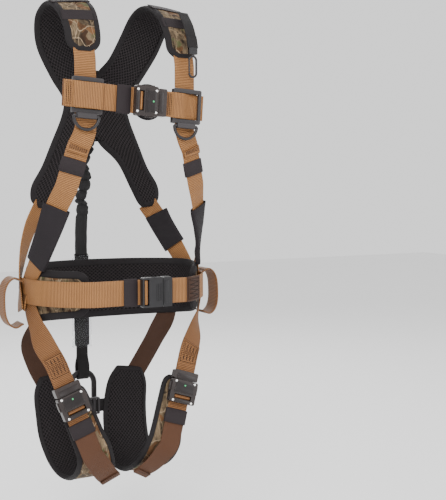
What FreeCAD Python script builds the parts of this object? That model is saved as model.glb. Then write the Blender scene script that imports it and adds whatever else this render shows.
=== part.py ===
"""Full-body safety harness: padded yoke, belt and leg pads, webbing, buckles and tether."""
import FreeCAD, Part
import math
import os
from FreeCAD import Placement, Rotation, Vector

# +Z is up, the chest faces -Y and +X is the wearer's left. The origin lies between the
# shoulders, where the yoke rests on the wearer. Sizes are in millimetres.
doc = FreeCAD.newDocument("SafetyHarness")
sheet = doc.addObject("Spreadsheet::Sheet", "Sizes")

SIZES = (
    ("webbing_thick", 2.2, "thickness of every strap"),
    ("body_strap_width", 44, "chest and waist webbing"),
    ("limb_strap_width", 38, "shoulder and leg webbing"),
    ("gap", 0.5, "clearance between pieces that slide on each other"),
    ("pin_gap", 0.06, "radial clearance of a hinge pin"),
    ("yoke_thick", 10, "padded yoke"),
    ("belt_thick", 11, "padded belt"),
    ("belt_half_width", 157, "half width of the belt at its middle surface"),
    ("belt_half_depth", 113, "half depth of the belt at its middle surface"),
    ("belt_height", 112, "height of the belt at the back"),
    ("belt_level", -508, "height of the belt's centre"),
    ("waist_strap_y", -121.5, "plane of the waist webbing across the belly"),
    ("waist_level", -500, "height of the waist webbing"),
    ("leg_pad_thick", 9, "padded leg loop"),
    ("leg_pad_width", 86, "width of the leg pad"),
    ("strap_x", 92, "distance of a shoulder strap from the middle"),
    ("strap_y", -110, "plane of the shoulder straps on the chest"),
    ("chest_level", -172, "height of the chest strap at the middle"),
    ("chest_tilt", 3.5, "degrees that the chest strap drops to the wearer's left"),
    ("slider_width", 54, "chest slider frame"),
    ("slider_height", 60, "chest slider frame"),
    ("slider_bar", 5.5, "width of a bar of the slider frame"),
    ("slider_thick", 4.5, "thickness of the slider frame"),
    ("plate_thick", 2.5, "back plate of the slider"),
    ("dring_bar", 2.6, "radius of the D-ring's wire"),
    ("dring_width", 44, "D-ring, between the wire centres"),
    ("buckle_width", 51, "quick buckle, across the webbing"),
    ("buckle_length", 46, "quick buckle, along the webbing"),
    ("buckle_thick", 12, "quick buckle"),
    ("latch_travel", 2.5, "travel of a release lever"),
    ("clip_width", 52, "side-release buckle, across the webbing"),
    ("clip_thick", 12, "side-release buckle"),
    ("keeper_wall", 1.6, "elastic keeper"),
    ("keeper_length", 26, "elastic keeper, along the webbing"),
    ("cord_radius", 12, "elastic tether sleeve"),
    ("tether_x", -14, "place of the hanging tether"),
    ("tether_y", 134, "place of the hanging tether"),
    ("pack_width", 38, "energy absorber"),
    ("pack_thick", 9, "energy absorber"),
    ("pack_length", 182, "energy absorber"),
    ("pack_top", -452, "top of the energy absorber"),
    ("sleeve_wall", 1.2, "clear cover of the absorber"),
    ("hook_wire", 5.5, "radius of the carabiner's bar"),
    ("hook_half_width", 24, "carabiner, between bar centres, halved"),
    ("hook_straight", 44, "straight side of the carabiner"),
    ("snap_wire", 1.9, "radius of the small snap hook's wire"),
)
for row, (name, value, note) in enumerate(SIZES, start=1):
    sheet.set(f"A{row}", note)
    sheet.set(f"B{row}", str(value))
    sheet.setAlias(f"B{row}", name)
doc.recompute()

PARTS = {}          # label: document object of each sub-part


def size(name):
    """Value of a driving dimension."""
    return float(sheet.get(name))


def keep(label, thing):
    """Name a finished sub-part; its label names its file."""
    thing.Label = label
    PARTS[label] = thing
    return thing


def bind(thing, **sizes):
    """Tie properties of an object to expressions on the sheet."""
    for name, formula in sizes.items():
        thing.setExpression(name.replace("__", "."), formula)
    return thing


def expr(text):
    """Write sheet names in full, so '@gap' becomes 'Sizes.gap'."""
    return text.replace("@", "Sizes.")


def block(spans, centre=("0", "0", "0")):
    """Box of the given spans about a centre, both as expressions."""
    box = doc.addObject("Part::Box", "Block")
    for axis, prop, span, middle in zip("xyz", ("Length", "Width", "Height"), spans, centre):
        box.setExpression(prop, expr(span))
        box.setExpression(f"Placement.Base.{axis}", expr(f"({middle}) - ({span}) / 2"))
    return box


def rod(radius, length, start, axis):
    """Cylinder from a start point along X, Y or Z."""
    turn = {"x": (Vector(0, 1, 0), 90), "y": (Vector(1, 0, 0), -90), "z": (Vector(0, 0, 1), 0)}
    bar = doc.addObject("Part::Cylinder", "Rod")
    bar.Placement = Placement(Vector(), Rotation(*turn[axis]))
    bar.setExpression("Radius", expr(radius))
    bar.setExpression("Height", expr(length))
    for letter, value in zip("xyz", start):
        bar.setExpression(f"Placement.Base.{letter}", expr(value))
    return bar


def ring_arc(wire, radius, centre, turn, angle=180):
    """Bent bar: part of a torus about a centre, first bent in the XY plane and then turned."""
    bend = doc.addObject("Part::Torus", "Bend")
    bend.Placement = Placement(Vector(), turn)
    bend.setExpression("Radius1", expr(radius))
    bend.setExpression("Radius2", expr(wire))
    bend.Angle3 = angle
    for letter, value in zip("xyz", centre):
        bend.setExpression(f"Placement.Base.{letter}", expr(value))
    return bend


def ball(radius, centre):
    """Sphere, as the foot that a gate turns on."""
    foot = doc.addObject("Part::Sphere", "Ball")
    foot.setExpression("Radius", expr(radius))
    for letter, value in zip("xyz", centre):
        foot.setExpression(f"Placement.Base.{letter}", expr(value))
    return foot


def fuse(*pieces):
    """One solid out of several."""
    whole = doc.addObject("Part::MultiFuse", "Whole")
    whole.Shapes = list(pieces)
    whole.Refine = True
    return whole


def cut(base, *tools):
    """Take tools out of a base, one after another."""
    for tool in tools:
        less = doc.addObject("Part::Cut", "Less")
        less.Base = base
        less.Tool = tool
        base = less
    return base


def round_edges(base, radius, along):
    """Fillet the straight edges that run along one axis of an uncut block."""
    doc.recompute()
    rounded = doc.addObject("Part::Fillet", "Rounded")
    rounded.Base = base
    chosen = []
    for index, edge in enumerate(base.Shape.Edges, start=1):
        run = edge.valueAt(edge.LastParameter) - edge.valueAt(edge.FirstParameter)
        if edge.Curve.TypeId == "Part::GeomLine" and abs(run.normalize().dot(along)) > 0.999:
            chosen.append((index, radius, radius))
    rounded.Edges = chosen
    return rounded


X_AXIS = Vector(1, 0, 0)
Y_AXIS = Vector(0, 1, 0)
Z_AXIS = Vector(0, 0, 1)


# ---- Bands: webbing and padding -------------------------------------------------------
# A band follows a centre line on the wearer. Its cross-section is a flat rectangle whose
# flat side faces away from the body.

def unit(vector):
    return Vector(vector).normalize()


def sections(points, outward, widths, thick, straight=()):
    """Four corners of the band at each point; 'straight' holds the starts of straight runs."""
    last = len(points) - 1
    if not isinstance(widths, (list, tuple)):
        widths = [widths] * len(points)
    corners = []
    for i, point in enumerate(points):
        before = points[max(i - 1, 0)]
        after = points[min(i + 1, last)]
        if i in straight:
            before = point
        if i - 1 in straight:
            after = point
        along = unit(after - before)
        across = unit(along.cross(outward(point)))
        normal = unit(across.cross(along))
        side = across * (widths[i] / 2)
        lift = normal * (thick / 2)
        corners.append([point - side - lift, point + side - lift,
                        point + side + lift, point - side + lift])
    return corners


def rail(points):
    """Curve through the points: a line for two, a smooth curve for more."""
    if len(points) == 2:
        return Part.LineSegment(*points)
    curve = Part.BSplineCurve()
    curve.interpolate(points)
    return curve


def band_faces(corners, runs, sides=(0, 1, 2, 3)):
    """Long faces of the band over runs of its sections."""
    faces = []
    for first, last in runs:
        rails = [rail([c[k] for c in corners[first:last + 1]]) for k in range(4)]
        for k in sides:
            faces.append(rails[k].makeRuledSurface(rails[(k + 1) % 4]).toShape())
    return faces


def end_face(corner):
    return Part.Face(Part.makePolygon(corner + [corner[0]]))


def closed_solid(faces):
    """Sew faces into one solid that is the right way out."""
    shell = Part.Shell(faces)
    shell.sewShape()
    solid = Part.Solid(shell)
    if solid.Volume < 0:
        solid.reverse()
    return solid


def band_solid(points, outward, widths, thick, straight=()):
    """Closed solid of a band; it has a joint in its faces at each end of a straight run."""
    corners = sections(points, outward, widths, thick, straight)
    stops = sorted({0, len(points) - 1} | set(straight) | {i + 1 for i in straight})
    faces = band_faces(corners, list(zip(stops, stops[1:])))
    faces += [end_face(corners[0]), end_face(corners[-1])]
    return closed_solid(faces)


def soft(label, *solids):
    """Sub-part whose shape is made of bands."""
    thing = doc.addObject("Part::Feature", "Soft")
    thing.Shape = solids[0] if len(solids) == 1 else Part.makeCompound(list(solids))
    return keep(label, thing)


def torso(point):
    """Direction away from the torso."""
    half_width = size("belt_half_width")
    half_depth = size("belt_half_depth")
    return Vector(point.x / half_width ** 2, point.y / half_depth ** 2, 0)


def forward(point):
    return Vector(0, -1, 0)


THICK = size("webbing_thick")
WIDE = size("body_strap_width")
NARROW = size("limb_strap_width")
GAP = size("gap")
SIDES = {"right": -1, "left": 1}


# ---- Yoke -----------------------------------------------------------------------------
# One padded X: two shoulder arches that meet between the shoulder blades and part again
# into two lobes. Each half is a strip between an inner and an outer edge.
YOKE_EDGES = (            # inner edge, outer edge, direction away from the wearer
    ((80, -104, -94), (104, -104, -94), (0, -1, 0.05)),
    ((64, -102, -80), (119, -100, -80), (0, -1, 0.12)),
    ((61, -96, -54), (121, -92, -54), (0, -1, 0.35)),
    ((59, -71, -18), (124, -65, -22), (0.08, -0.8, 0.8)),
    ((57, -30, 4), (128, -26, -3), (0.12, -0.35, 1)),
    ((55, 6, 8), (130, 8, -5), (0.15, 0.05, 1)),
    ((52, 40, -5), (129, 42, -24), (0.12, 0.6, 0.8)),
    ((44, 66, -38), (118, 66, -66), (0.06, 0.9, 0.45)),
    ((26, 78, -78), (88, 78, -118), (0, 1, 0.15)),
    ((0, 81, -112), (64, 82, -154), (0, 1, 0)),
    ((0, 82, -168), (66, 83, -186), (0, 1, 0)),
    ((0, 83, -226), (88, 84, -240), (0, 1, 0)),
    ((44, 84, -270), (106, 84, -282), (0, 1, 0)),
    ((70, 84, -318), (126, 82, -316), (0.1, 1, 0)),
    ((86, 84, -348), (128, 82, -342), (0.1, 1, 0)),
    ((96, 84, -358), (116, 83, -356), (0.1, 1, 0)),
)
YOKE_SPINE = (9, 11)      # sections whose inner edge lies on the middle of the back


def yoke_half(side):
    """Faces of one half of the yoke, open along the middle of the back."""
    half_thick = size("yoke_thick") / 2
    corners = []
    for inner, outer, away in YOKE_EDGES:
        lift = unit(Vector(side * away[0], away[1], away[2])) * half_thick
        near = Vector(side * inner[0], inner[1], inner[2])
        far = Vector(side * outer[0], outer[1], outer[2])
        if inner[0] == 0:
            lift = Vector(0, half_thick, 0)
        corners.append([near - lift, near + lift, far + lift, far - lift])
    first, last = YOKE_SPINE
    faces = band_faces(corners, [(0, first)])
    faces += band_faces(corners, [(first, last)], sides=(1, 2, 3))
    faces += band_faces(corners, [(last, len(corners) - 1)])
    return faces + [end_face(corners[0]), end_face(corners[-1])]


soft("yoke_pad", closed_solid(yoke_half(1) + yoke_half(-1)))


# ---- Belt -----------------------------------------------------------------------------
BELT_WIDTHS = (           # degrees from the spine, share of the full height
    (-147, 0.50), (-141, 0.68), (-125, 0.72), (-100, 0.82), (-70, 0.93), (-35, 0.98), (0, 1),
    (35, 0.98), (70, 0.93), (95, 0.86), (112, 0.74), (121, 0.68), (127, 0.50),
)
BELT_DIP = 8              # the back of the belt hangs this much lower than its sides


def belt_point(degrees, lift=0.0, rise=0.0):
    """Point on the belt's middle surface, moved out by 'lift' and up by 'rise'."""
    turn = math.radians(degrees)
    flat = Vector(size("belt_half_width") * math.sin(turn),
                  size("belt_half_depth") * math.cos(turn), 0)
    level = size("belt_level") - BELT_DIP * math.cos(turn)
    return flat + unit(torso(flat)) * lift + Vector(0, 0, level + rise)


def belt_band(angles, height, thick, lift, rise=0.0):
    """Band that lies round the belt between two angles."""
    points = [belt_point(a, lift, rise) for a in angles]
    return band_solid(points, torso, height, thick)


soft("belt_pad", band_solid([belt_point(a) for a, share in BELT_WIDTHS], torso,
                            [size("belt_height") * share for a, share in BELT_WIDTHS],
                            size("belt_thick")))

ON_BELT = size("belt_thick") / 2 + THICK / 2 + GAP
ROW_HEIGHT = 24
ROW_RISE = 20
rows = [belt_band(range(-48, 31, 13), ROW_HEIGHT, THICK, ON_BELT, rise)
        for rise in (-ROW_RISE, ROW_RISE)]
LOOP_HEIGHT = 48
uprights = [belt_band((start, start + 5, start + 10), LOOP_HEIGHT, THICK, ON_BELT)
            for start in (36, -66)]
soft("belt_ladder", *rows, *uprights)


# ---- Waist webbing --------------------------------------------------------------------
WAIST_Y = size("waist_strap_y")
WAIST_Z = size("waist_level")
STRAP_RIGHT = [Vector(-166, 30, WAIST_Z), Vector(-169, -6, WAIST_Z), Vector(-160, -46, WAIST_Z),
               Vector(-140, -80, WAIST_Z), Vector(-112, -106, WAIST_Z),
               Vector(-78, WAIST_Y, WAIST_Z), Vector(20, WAIST_Y, WAIST_Z)]
STRAP_LEFT = [Vector(52, WAIST_Y, WAIST_Z), Vector(84, WAIST_Y, WAIST_Z),
              Vector(118, -102, WAIST_Z), Vector(145, -74, WAIST_Z), Vector(163, -38, WAIST_Z),
              Vector(169, -4, WAIST_Z), Vector(166, 30, WAIST_Z)]
soft("waist_strap_right", band_solid(STRAP_RIGHT, torso, WIDE, THICK, straight=(5,)))
soft("waist_strap_left", band_solid(STRAP_LEFT, torso, WIDE, THICK, straight=(0,)))


# ---- Shoulder and back webbing --------------------------------------------------------
STRAP_X = size("strap_x")
STRAP_Y = size("strap_y")
COVER_WALL = 2.4
COVER_SLACK = 1.3


def side_points(side, points):
    return [Vector(side * x, y, z) for x, y, z in points]


SHOULDER_ROUTE = (
    (STRAP_X, STRAP_Y + 10, -66), (STRAP_X, STRAP_Y + 5, -88), (STRAP_X, STRAP_Y, -110),
    (STRAP_X, STRAP_Y, -216), (STRAP_X + 5, STRAP_Y + 1, -236),
    (STRAP_X + 13, STRAP_Y + 4, -254), (STRAP_X + 29, STRAP_Y + 13, -314), (134, -80, -352),
    (146, -60, -402), (157, -32, -452), (168, 0, -500), (171, 6, -532),
)
STRAIGHT_RUNS = (2, 5)    # the chest slider runs on the first, an elastic keeper on the second
BACK_SLEEVE = ((123, 79.5, -370), (134, 74, -394), (152, 56, -434))
BACK_ROUTE = ((107, 84, -336), (116, 82, -356), (134, 74, -394), (152, 56, -434),
              (166, 32, -476), (173, 12, -516), (174, 6, -536))


def chest_away(point):
    """Straight forward on the chest, then turning round the torso on both sides of a keeper."""
    turned = min(max((-216 - point.z) / 38, 0), 1) + min(max((-314 - point.z) / 88, 0), 1)
    return unit(torso(point)) * (turned / 2) + Vector(0, -1, 0) * (1 - turned / 2)


def sleeve(points, outward, width, thick):
    """Tube of fabric round a strap: a band with the strap's room taken out."""
    outer = band_solid(points, outward, width + 2 * COVER_WALL, thick + 2 * COVER_WALL)
    ends = [points[0] * 2 - points[1], points[-1] * 2 - points[-2]]
    longer = [ends[0]] + points + [ends[1]]
    return outer.cut(band_solid(longer, outward, width, thick))


COVERS = []
for name, side in SIDES.items():
    soft(f"shoulder_strap_{name}",
         band_solid(side_points(side, SHOULDER_ROUTE), chest_away, NARROW, THICK, STRAIGHT_RUNS))
    soft(f"back_strap_{name}", band_solid(side_points(side, BACK_ROUTE), torso, NARROW, THICK))
    COVERS.append(sleeve(side_points(side, SHOULDER_ROUTE[7:10]), chest_away,
                         NARROW + 2 * COVER_SLACK, THICK + 2 * COVER_SLACK))
COVERS.append(sleeve(side_points(SIDES["left"], BACK_SLEEVE), torso,
                     NARROW + 2 * COVER_SLACK, THICK + 2 * COVER_SLACK))
soft("strap_covers", *COVERS)


# ---- Side loops -----------------------------------------------------------------------
LOOP_ROUTE = ((176, 0, -482), (192, 0, -476), (205, 0, -490), (208, 0, -518),
              (204, 0, -548), (191, 0, -562), (176, 0, -556))
LOOP_WIDTH = 40


def from_loop(point):
    return Vector(point.x - math.copysign(184, point.x), 0, point.z + 519)


for name, side in SIDES.items():
    soft(f"side_loop_{name}", band_solid(side_points(side, LOOP_ROUTE), from_loop,
                                         LOOP_WIDTH, THICK))


# ---- Leg loops ------------------------------------------------------------------------
# Each loop runs from the hip down the front of the thigh through a quick buckle, under the
# thigh and up behind it. Both loops hang a little to the wearer's right.
LEG_SHIFT = -13
BUCKLE_POINT = (105, -93.6, -684)      # middle of the leg buckle, on the strap
DOWN = unit(Vector(-0.316, -0.174, -0.933))
LEG_FRONT = unit(Vector(0, -0.984, 0.183))


def leg_point(side, x, y, z):
    """Point on a leg loop; the shift to the right grows from the hip down."""
    share = min(max((-z - 540) / 80, 0), 1)
    return Vector(side * x + LEG_SHIFT * share, y, z)


def strap_line(side, rise):
    """Point on the straight part of the front leg strap, 'rise' above the buckle's middle."""
    down = Vector(side * DOWN.x, DOWN.y, DOWN.z)
    return leg_point(side, *BUCKLE_POINT) - down * rise


def leg_away(point):
    """Round the torso at the hip, to the front on the thigh, turning under at the end."""
    thigh = min(max((-point.z - 560) / 50, 0), 1)
    under = min(max((-point.z - 778) / 50, 0), 1)
    front = LEG_FRONT * (1 - under) + Vector(0, -0.85, -0.55) * under
    return unit(torso(point)) * (1 - thigh) + front * thigh


def pad_away(point):
    """Away from the middle of the leg loop."""
    if point.z > -785:
        return LEG_FRONT if point.y < 0 else Vector(0, 1, 0.05)
    return Vector(0, (point.y + 5) / 95, (point.z + 785) / 50)


def behind_point(point):
    return Vector(0, 1, 0)


def rear_away(point):
    """Flat in the belt at the hip, turning to the back on its way down."""
    turned = min(max((-point.z - 566) / 50, 0), 1)
    return unit(torso(point)) * (1 - turned) + Vector(0.1, 1, 0) * turned


PAD_BEHIND = THICK / 2 + 4.7 + size("leg_pad_thick") / 2
PAD_FRONT = ((22, 0.40), (10, 0.62), (-30, 0.66), (-70, 0.68), (-98, 0.74))
PAD_REST = ((58, -80, -812, 0.84), (54, -38, -836, 0.94), (55, 8, -840, 0.98),
            (60, 46, -822, 1.0), (64, 72, -784, 1.05), (68, 82, -742, 1.02),
            (74, 84, -700, 0.93), (78, 84, -672, 0.60))
STRAP_SPLIT = -58         # the adjustable webbing ends here, under the keeper
for name, side in SIDES.items():
    hip = [leg_point(side, *p) for p in ((166, -6, -498), (163, -26, -540), (146, -58, -586))]
    upper = hip + [strap_line(side, 61), strap_line(side, 24)]
    soft(f"leg_strap_upper_{name}", band_solid(upper, leg_away, NARROW, THICK, straight=(3,)))
    light = band_solid([strap_line(side, 4), strap_line(side, STRAP_SPLIT)],
                       leg_away, NARROW, THICK)
    tail = [leg_point(side, *p) for p in ((60, -106, -797), (44, -95, -818), (28, -79, -834))]
    dark = band_solid([strap_line(side, STRAP_SPLIT), strap_line(side, -98)] + tail,
                      leg_away, NARROW, THICK, straight=(0,))
    soft(f"leg_strap_lower_{name}", light, dark)
    inward = LEG_FRONT * -PAD_BEHIND + Vector(-8 * side, 0, 0)
    pad = [strap_line(side, rise) + inward for rise, share in PAD_FRONT]
    pad += [leg_point(side, x, y, z) for x, y, z, share in PAD_REST]
    shares = [share for rise, share in PAD_FRONT] + [p[3] for p in PAD_REST]
    soft(f"leg_pad_{name}", band_solid(pad, pad_away, [size("leg_pad_width") * s for s in shares],
                                       size("leg_pad_thick")))
    rear = [leg_point(side, *p) for p in ((137, 56, -532), (135, 58, -566), (128, 65, -606),
                                          (110, 78, -650), (92, 86, -684))]
    soft(f"leg_strap_rear_{name}", band_solid(rear, rear_away, NARROW, THICK))


# ---- Quick buckles --------------------------------------------------------------------
# In its own frame a buckle has X across the webbing, Y towards the wearer and Z along the
# webbing, with the webbing's middle at Y = 0 and the tongue on top.
BUCKLE_FRONT = "(-@webbing_thick / 2 - @gap - @buckle_thick)"
BUCKLE_BACK = "(-@webbing_thick / 2 - @gap)"
BUCKLE_MID = f"(({BUCKLE_FRONT} + {BUCKLE_BACK}) / 2)"
RECEIVER_LOW = "(14 - (@buckle_length - 5))"
RECEIVER_MID = f"((14 + {RECEIVER_LOW}) / 2)"
TONGUE_WIDTH = "32"
TONGUE_THICK = "2.4"
LATCH_SIZE = ("7", "6.4", "16")
LATCH_MID = "(@buckle_width / 2 - 1.5)"


def place(thing, placement):
    """Move a finished piece into its place on the harness."""
    thing.Placement = placement
    return thing


def quick_buckle(prefix, suffix, placement):
    """Receiver with two release levers and the tongue that snaps into it."""
    shell = round_edges(block(("@buckle_width", "@buckle_thick", "@buckle_length - 5"),
                              ("0", BUCKLE_MID, RECEIVER_MID)), 3, Y_AXIS)
    slot = block(("34", f"{TONGUE_THICK} + 2 * @gap", "24"), ("0", BUCKLE_MID, "4.5"))
    window = block(("@limb_strap_width - 4", "@buckle_thick + 2", "8"),
                   ("0", BUCKLE_MID, f"{RECEIVER_LOW} + 11"))
    pockets = []
    for hand, sign in (("a", "-1"), ("b", "1")):
        latch = block(LATCH_SIZE, (f"{sign} * {LATCH_MID}", BUCKLE_MID, "0"))
        keep(f"{prefix}_latch_{hand}{suffix}", place(round_edges(latch, 1.2, Y_AXIS), placement))
        pockets.append(block(("12", f"{LATCH_SIZE[1]} + 2 * @gap", f"{LATCH_SIZE[2]} + 2 * @gap"),
                             (f"{sign} * (@buckle_width / 2 - 2.6)", BUCKLE_MID, "0")))
    receiver = cut(shell, slot, window, *pockets)
    keep(f"{prefix}_receiver{suffix}", place(receiver, placement))
    blade = block((TONGUE_WIDTH, TONGUE_THICK, "20"), ("0", BUCKLE_MID, "6"))
    head_back = "(@webbing_thick / 2 + 1.3)"
    head = round_edges(block(("@buckle_width - 4", f"{head_back} - {BUCKLE_FRONT} - 2", "16"),
                             ("0", f"({head_back} + {BUCKLE_FRONT} + 2) / 2", "23")), 2.5, Y_AXIS)
    strap_room = block(("@body_strap_width + 2 * @gap", "@webbing_thick + 2 * @gap", "10"),
                       ("0", "0", "27.5"))
    keep(f"{prefix}_tongue{suffix}", place(cut(fuse(head, blade), strap_room), placement))


def leg_placement(side):
    """Frame of the leg buckle: Z up along the strap, Y towards the thigh."""
    up = Vector(-side * DOWN.x, -DOWN.y, -DOWN.z)
    inward = LEG_FRONT * -1
    across = inward.cross(up)
    turn = Rotation(across, inward, up, "ZYX")
    return Placement(leg_point(side, *BUCKLE_POINT), turn)


def keeper(label, width, rise, placement):
    """Elastic band round the webbing, its middle 'rise' along it."""
    room = ("@gap * 1.6", "@keeper_wall")
    outer = block((f"@{width} + 2 * {room[0]} + 2 * {room[1]}",
                   f"@webbing_thick + 2 * {room[0]} + 2 * {room[1]}", "@keeper_length"),
                  ("0", "0", rise))
    inner = block((f"@{width} + 2 * {room[0]}", f"@webbing_thick + 2 * {room[0]}",
                   "@keeper_length + 2"), ("0", "0", rise))
    keep(label, place(cut(outer, inner), placement))


for name, side in SIDES.items():
    quick_buckle("leg", f"_{name}", leg_placement(side))
    keeper(f"leg_keeper_{name}", "limb_strap_width", "-51", leg_placement(side))


# ---- Chest strap ----------------------------------------------------------------------
# Two sliders run on the shoulder straps and carry the chest webbing, its buckle and two
# D-rings. In the chest frame X runs along the webbing and Y = 0 is its middle.
CHEST_Y = STRAP_Y - 13.2
CHEST = Placement(Vector(0, CHEST_Y, size("chest_level")), Rotation(Y_AXIS, size("chest_tilt")))
CHEST_BUCKLE = CHEST.multiply(Placement(Vector(15, 0, 0), Rotation(Y_AXIS, 90)))


def chest_point(x, y):
    return CHEST.multVec(Vector(x, y, 0))


soft("chest_strap_right", band_solid([chest_point(-137, 0), chest_point(19, 0)], forward,
                                     WIDE, THICK))
BEHIND_BAR = 8.8
soft("chest_strap_left",
     band_solid([chest_point(39.5, 0), chest_point(78, 0), chest_point(86, 2.2),
                 chest_point(94, 6.6), chest_point(102, BEHIND_BAR), chest_point(126, BEHIND_BAR)],
                forward, WIDE, THICK, straight=(0, 4)))
quick_buckle("chest", "", CHEST_BUCKLE)
keeper("chest_keeper", "body_strap_width", "-45", CHEST_BUCKLE)
PAD_PLATE = doc.addObject("Part::Cylinder", "Oval")
bind(PAD_PLATE, Radius="31", Height="4")
PAD_PLATE.Placement = Placement(Vector(0, THICK / 2 + 2, 2), Rotation(X_AXIS, -90))
keep("chest_buckle_pad", place(PAD_PLATE, CHEST_BUCKLE.multiply(PAD_PLATE.Placement)))

FRAME_FRONT = 1.7
FRAME_MID = f"({FRAME_FRONT} + @slider_thick / 2)"
PLATE_MID = "(13.2 + @webbing_thick / 2 + 1 + @plate_thick / 2)"
DRING_LEVEL = "(-@slider_height / 2 - 4.5)"
for name, side in SIDES.items():
    spot = CHEST.multiply(Placement(Vector(side * STRAP_X, 0, 0), Rotation()))
    frame = round_edges(block(("@slider_width", "@slider_thick", "@slider_height"),
                              ("0", FRAME_MID, "0")), 3, Y_AXIS)
    opening = block(("@slider_width - 2 * @slider_bar", "@slider_thick + 2",
                     "@body_strap_width + 2"), ("0", FRAME_MID, "0"))
    posts = [block(("3", f"{PLATE_MID} - {FRAME_MID}", "6"),
                   (f"{i} * (@limb_strap_width / 2 + 4)", f"({PLATE_MID} + {FRAME_MID}) / 2",
                    f"{j} * (@slider_height / 2 - 3.5)"))
             for i in (-1, 1) for j in (-1, 1)]
    plate = round_edges(block(("@slider_width - 6", "@plate_thick", "@slider_height"),
                              ("0", PLATE_MID, "0")), 4, Y_AXIS)
    lug = round_edges(block(("34", "8", "10"), ("0", FRAME_MID, f"{DRING_LEVEL} + 1")), 2, X_AXIS)
    bore = rod("@dring_bar + @pin_gap", "40", ("-20", FRAME_MID, DRING_LEVEL), "x")
    keep(f"slider_{name}", place(cut(fuse(cut(frame, opening), plate, lug, *posts), bore), spot))
    bar = rod("@dring_bar", "@dring_width", ("-@dring_width / 2", FRAME_MID, DRING_LEVEL), "x")
    bow = ring_arc("@dring_bar", "@dring_width / 2", ("0", FRAME_MID, DRING_LEVEL),
                   Rotation(X_AXIS, -90))
    keep(f"d_ring_{name}", place(fuse(bar, bow), spot))
    corners = [Vector(side * x, y, z) for x, y, z in SHOULDER_ROUTE[5:7]]
    up = unit(corners[0] - corners[1])
    middle = (corners[0] + corners[1]) / 2
    across = unit(up.cross(chest_away(middle)))
    inward = up.cross(across)
    keeper(f"shoulder_keeper_{name}", "limb_strap_width", "0",
           Placement(middle, Rotation(across, inward, up, "ZYX")))


# ---- Waist buckle ---------------------------------------------------------------------
# Side-release buckle: the plug's two prongs spring into windows in the socket's sides. The
# socket hangs on the long webbing by its adjuster bar.
WAIST_BUCKLE = Placement(Vector(25, WAIST_Y, WAIST_Z), Rotation(Y_AXIS, 90))
CLIP_FRONT = "(-@webbing_thick / 2 - @gap - @clip_thick)"
CLIP_BACK = "(-@webbing_thick / 2 - @gap)"
CLIP_MID = f"(({CLIP_FRONT} + {CLIP_BACK}) / 2)"
PRONG_THICK = "6"
PRONG_WIDE = "7"
shell = round_edges(block(("@clip_width", "@clip_thick", "38"), ("0", CLIP_MID, "-7")), 3, Y_AXIS)
cavity = block(("@clip_width - 6", f"{PRONG_THICK} + 2 * @gap", "24"), ("0", CLIP_MID, "1"))
windows = block(("@clip_width + 4", f"{PRONG_THICK} + 2 * @gap", "12"), ("0", CLIP_MID, "-2"))
adjuster = block(("@body_strap_width + 1", "@clip_thick + 2", "9"), ("0", CLIP_MID, "-18.5"))
keep("waist_socket", place(cut(shell, cavity, windows, adjuster), WAIST_BUCKLE))
head = round_edges(block(("@clip_width", "@webbing_thick / 2 + 1.3 - " + CLIP_FRONT, "17"),
                         ("0", f"(@webbing_thick / 2 + 1.3 + {CLIP_FRONT}) / 2", "21.5")),
                   2.5, Y_AXIS)
strap_room = block(("@body_strap_width + 2 * @gap", "@webbing_thick + 2 * @gap", "9"),
                   ("0", "0", "26"))
tongue = block(("8", PRONG_THICK, "20"), ("0", CLIP_MID, "5"))
prongs = []
for sign in ("-1", "1"):
    prongs.append(block((PRONG_WIDE, PRONG_THICK, "22"),
                        (f"{sign} * (@clip_width / 2 - 8)", CLIP_MID, "4")))
    prongs.append(block(("6", PRONG_THICK, "8"), (f"{sign} * (@clip_width / 2 - 6.6)", CLIP_MID, "-2")))
keep("waist_plug", place(cut(fuse(head, tongue, *prongs), strap_room), WAIST_BUCKLE))
keeper("waist_keeper", "body_strap_width", "-44", WAIST_BUCKLE)


# ---- Link strap between the leg pads --------------------------------------------------
LINK_Y = 84
LINK_LEVEL = -742
LINK_WIDTH = 25
link = [Vector(-58, LINK_Y, LINK_LEVEL), Vector(34, LINK_Y, LINK_LEVEL)]
soft("link_strap", band_solid(link, behind_point, LINK_WIDTH, THICK))
GLIDE_HEIGHT = "33"
glide_frame = round_edges(block(("22", "4.4 + @webbing_thick", GLIDE_HEIGHT)), 2.5, Y_AXIS)
glide_room = block(("24", "@webbing_thick + 2 * @gap", "26.5"))
glide_slots = [block(("5.5", "12", "27"), (x, "0", "0")) for x in ("-5", "5")]
keep("tri_glide", place(cut(glide_frame, glide_room, *glide_slots),
                        Placement(Vector(-9, LINK_Y, LINK_LEVEL), Rotation())))


# ---- Tether ---------------------------------------------------------------------------
# Sewn to the back of the yoke: an elastic sleeve over webbing, a tear-webbing energy
# absorber in a clear cover, and a loop that holds a locking carabiner.
YOKE_BACK = 83 + size("yoke_thick") / 2
soft("dorsal_strap", band_solid([Vector(0, YOKE_BACK + THICK / 2 + 0.3, -98),
                                 Vector(0, YOKE_BACK + THICK / 2 + 0.8, -222)],
                                lambda point: Y_AXIS, 34, THICK))

CORD_ROUTE = ((0, 104, -150), (-3, 113, -205), (-8, 121, -262), (-11, 129, -325),
              (-14, 133, -388), (-14, 134, -452))


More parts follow.
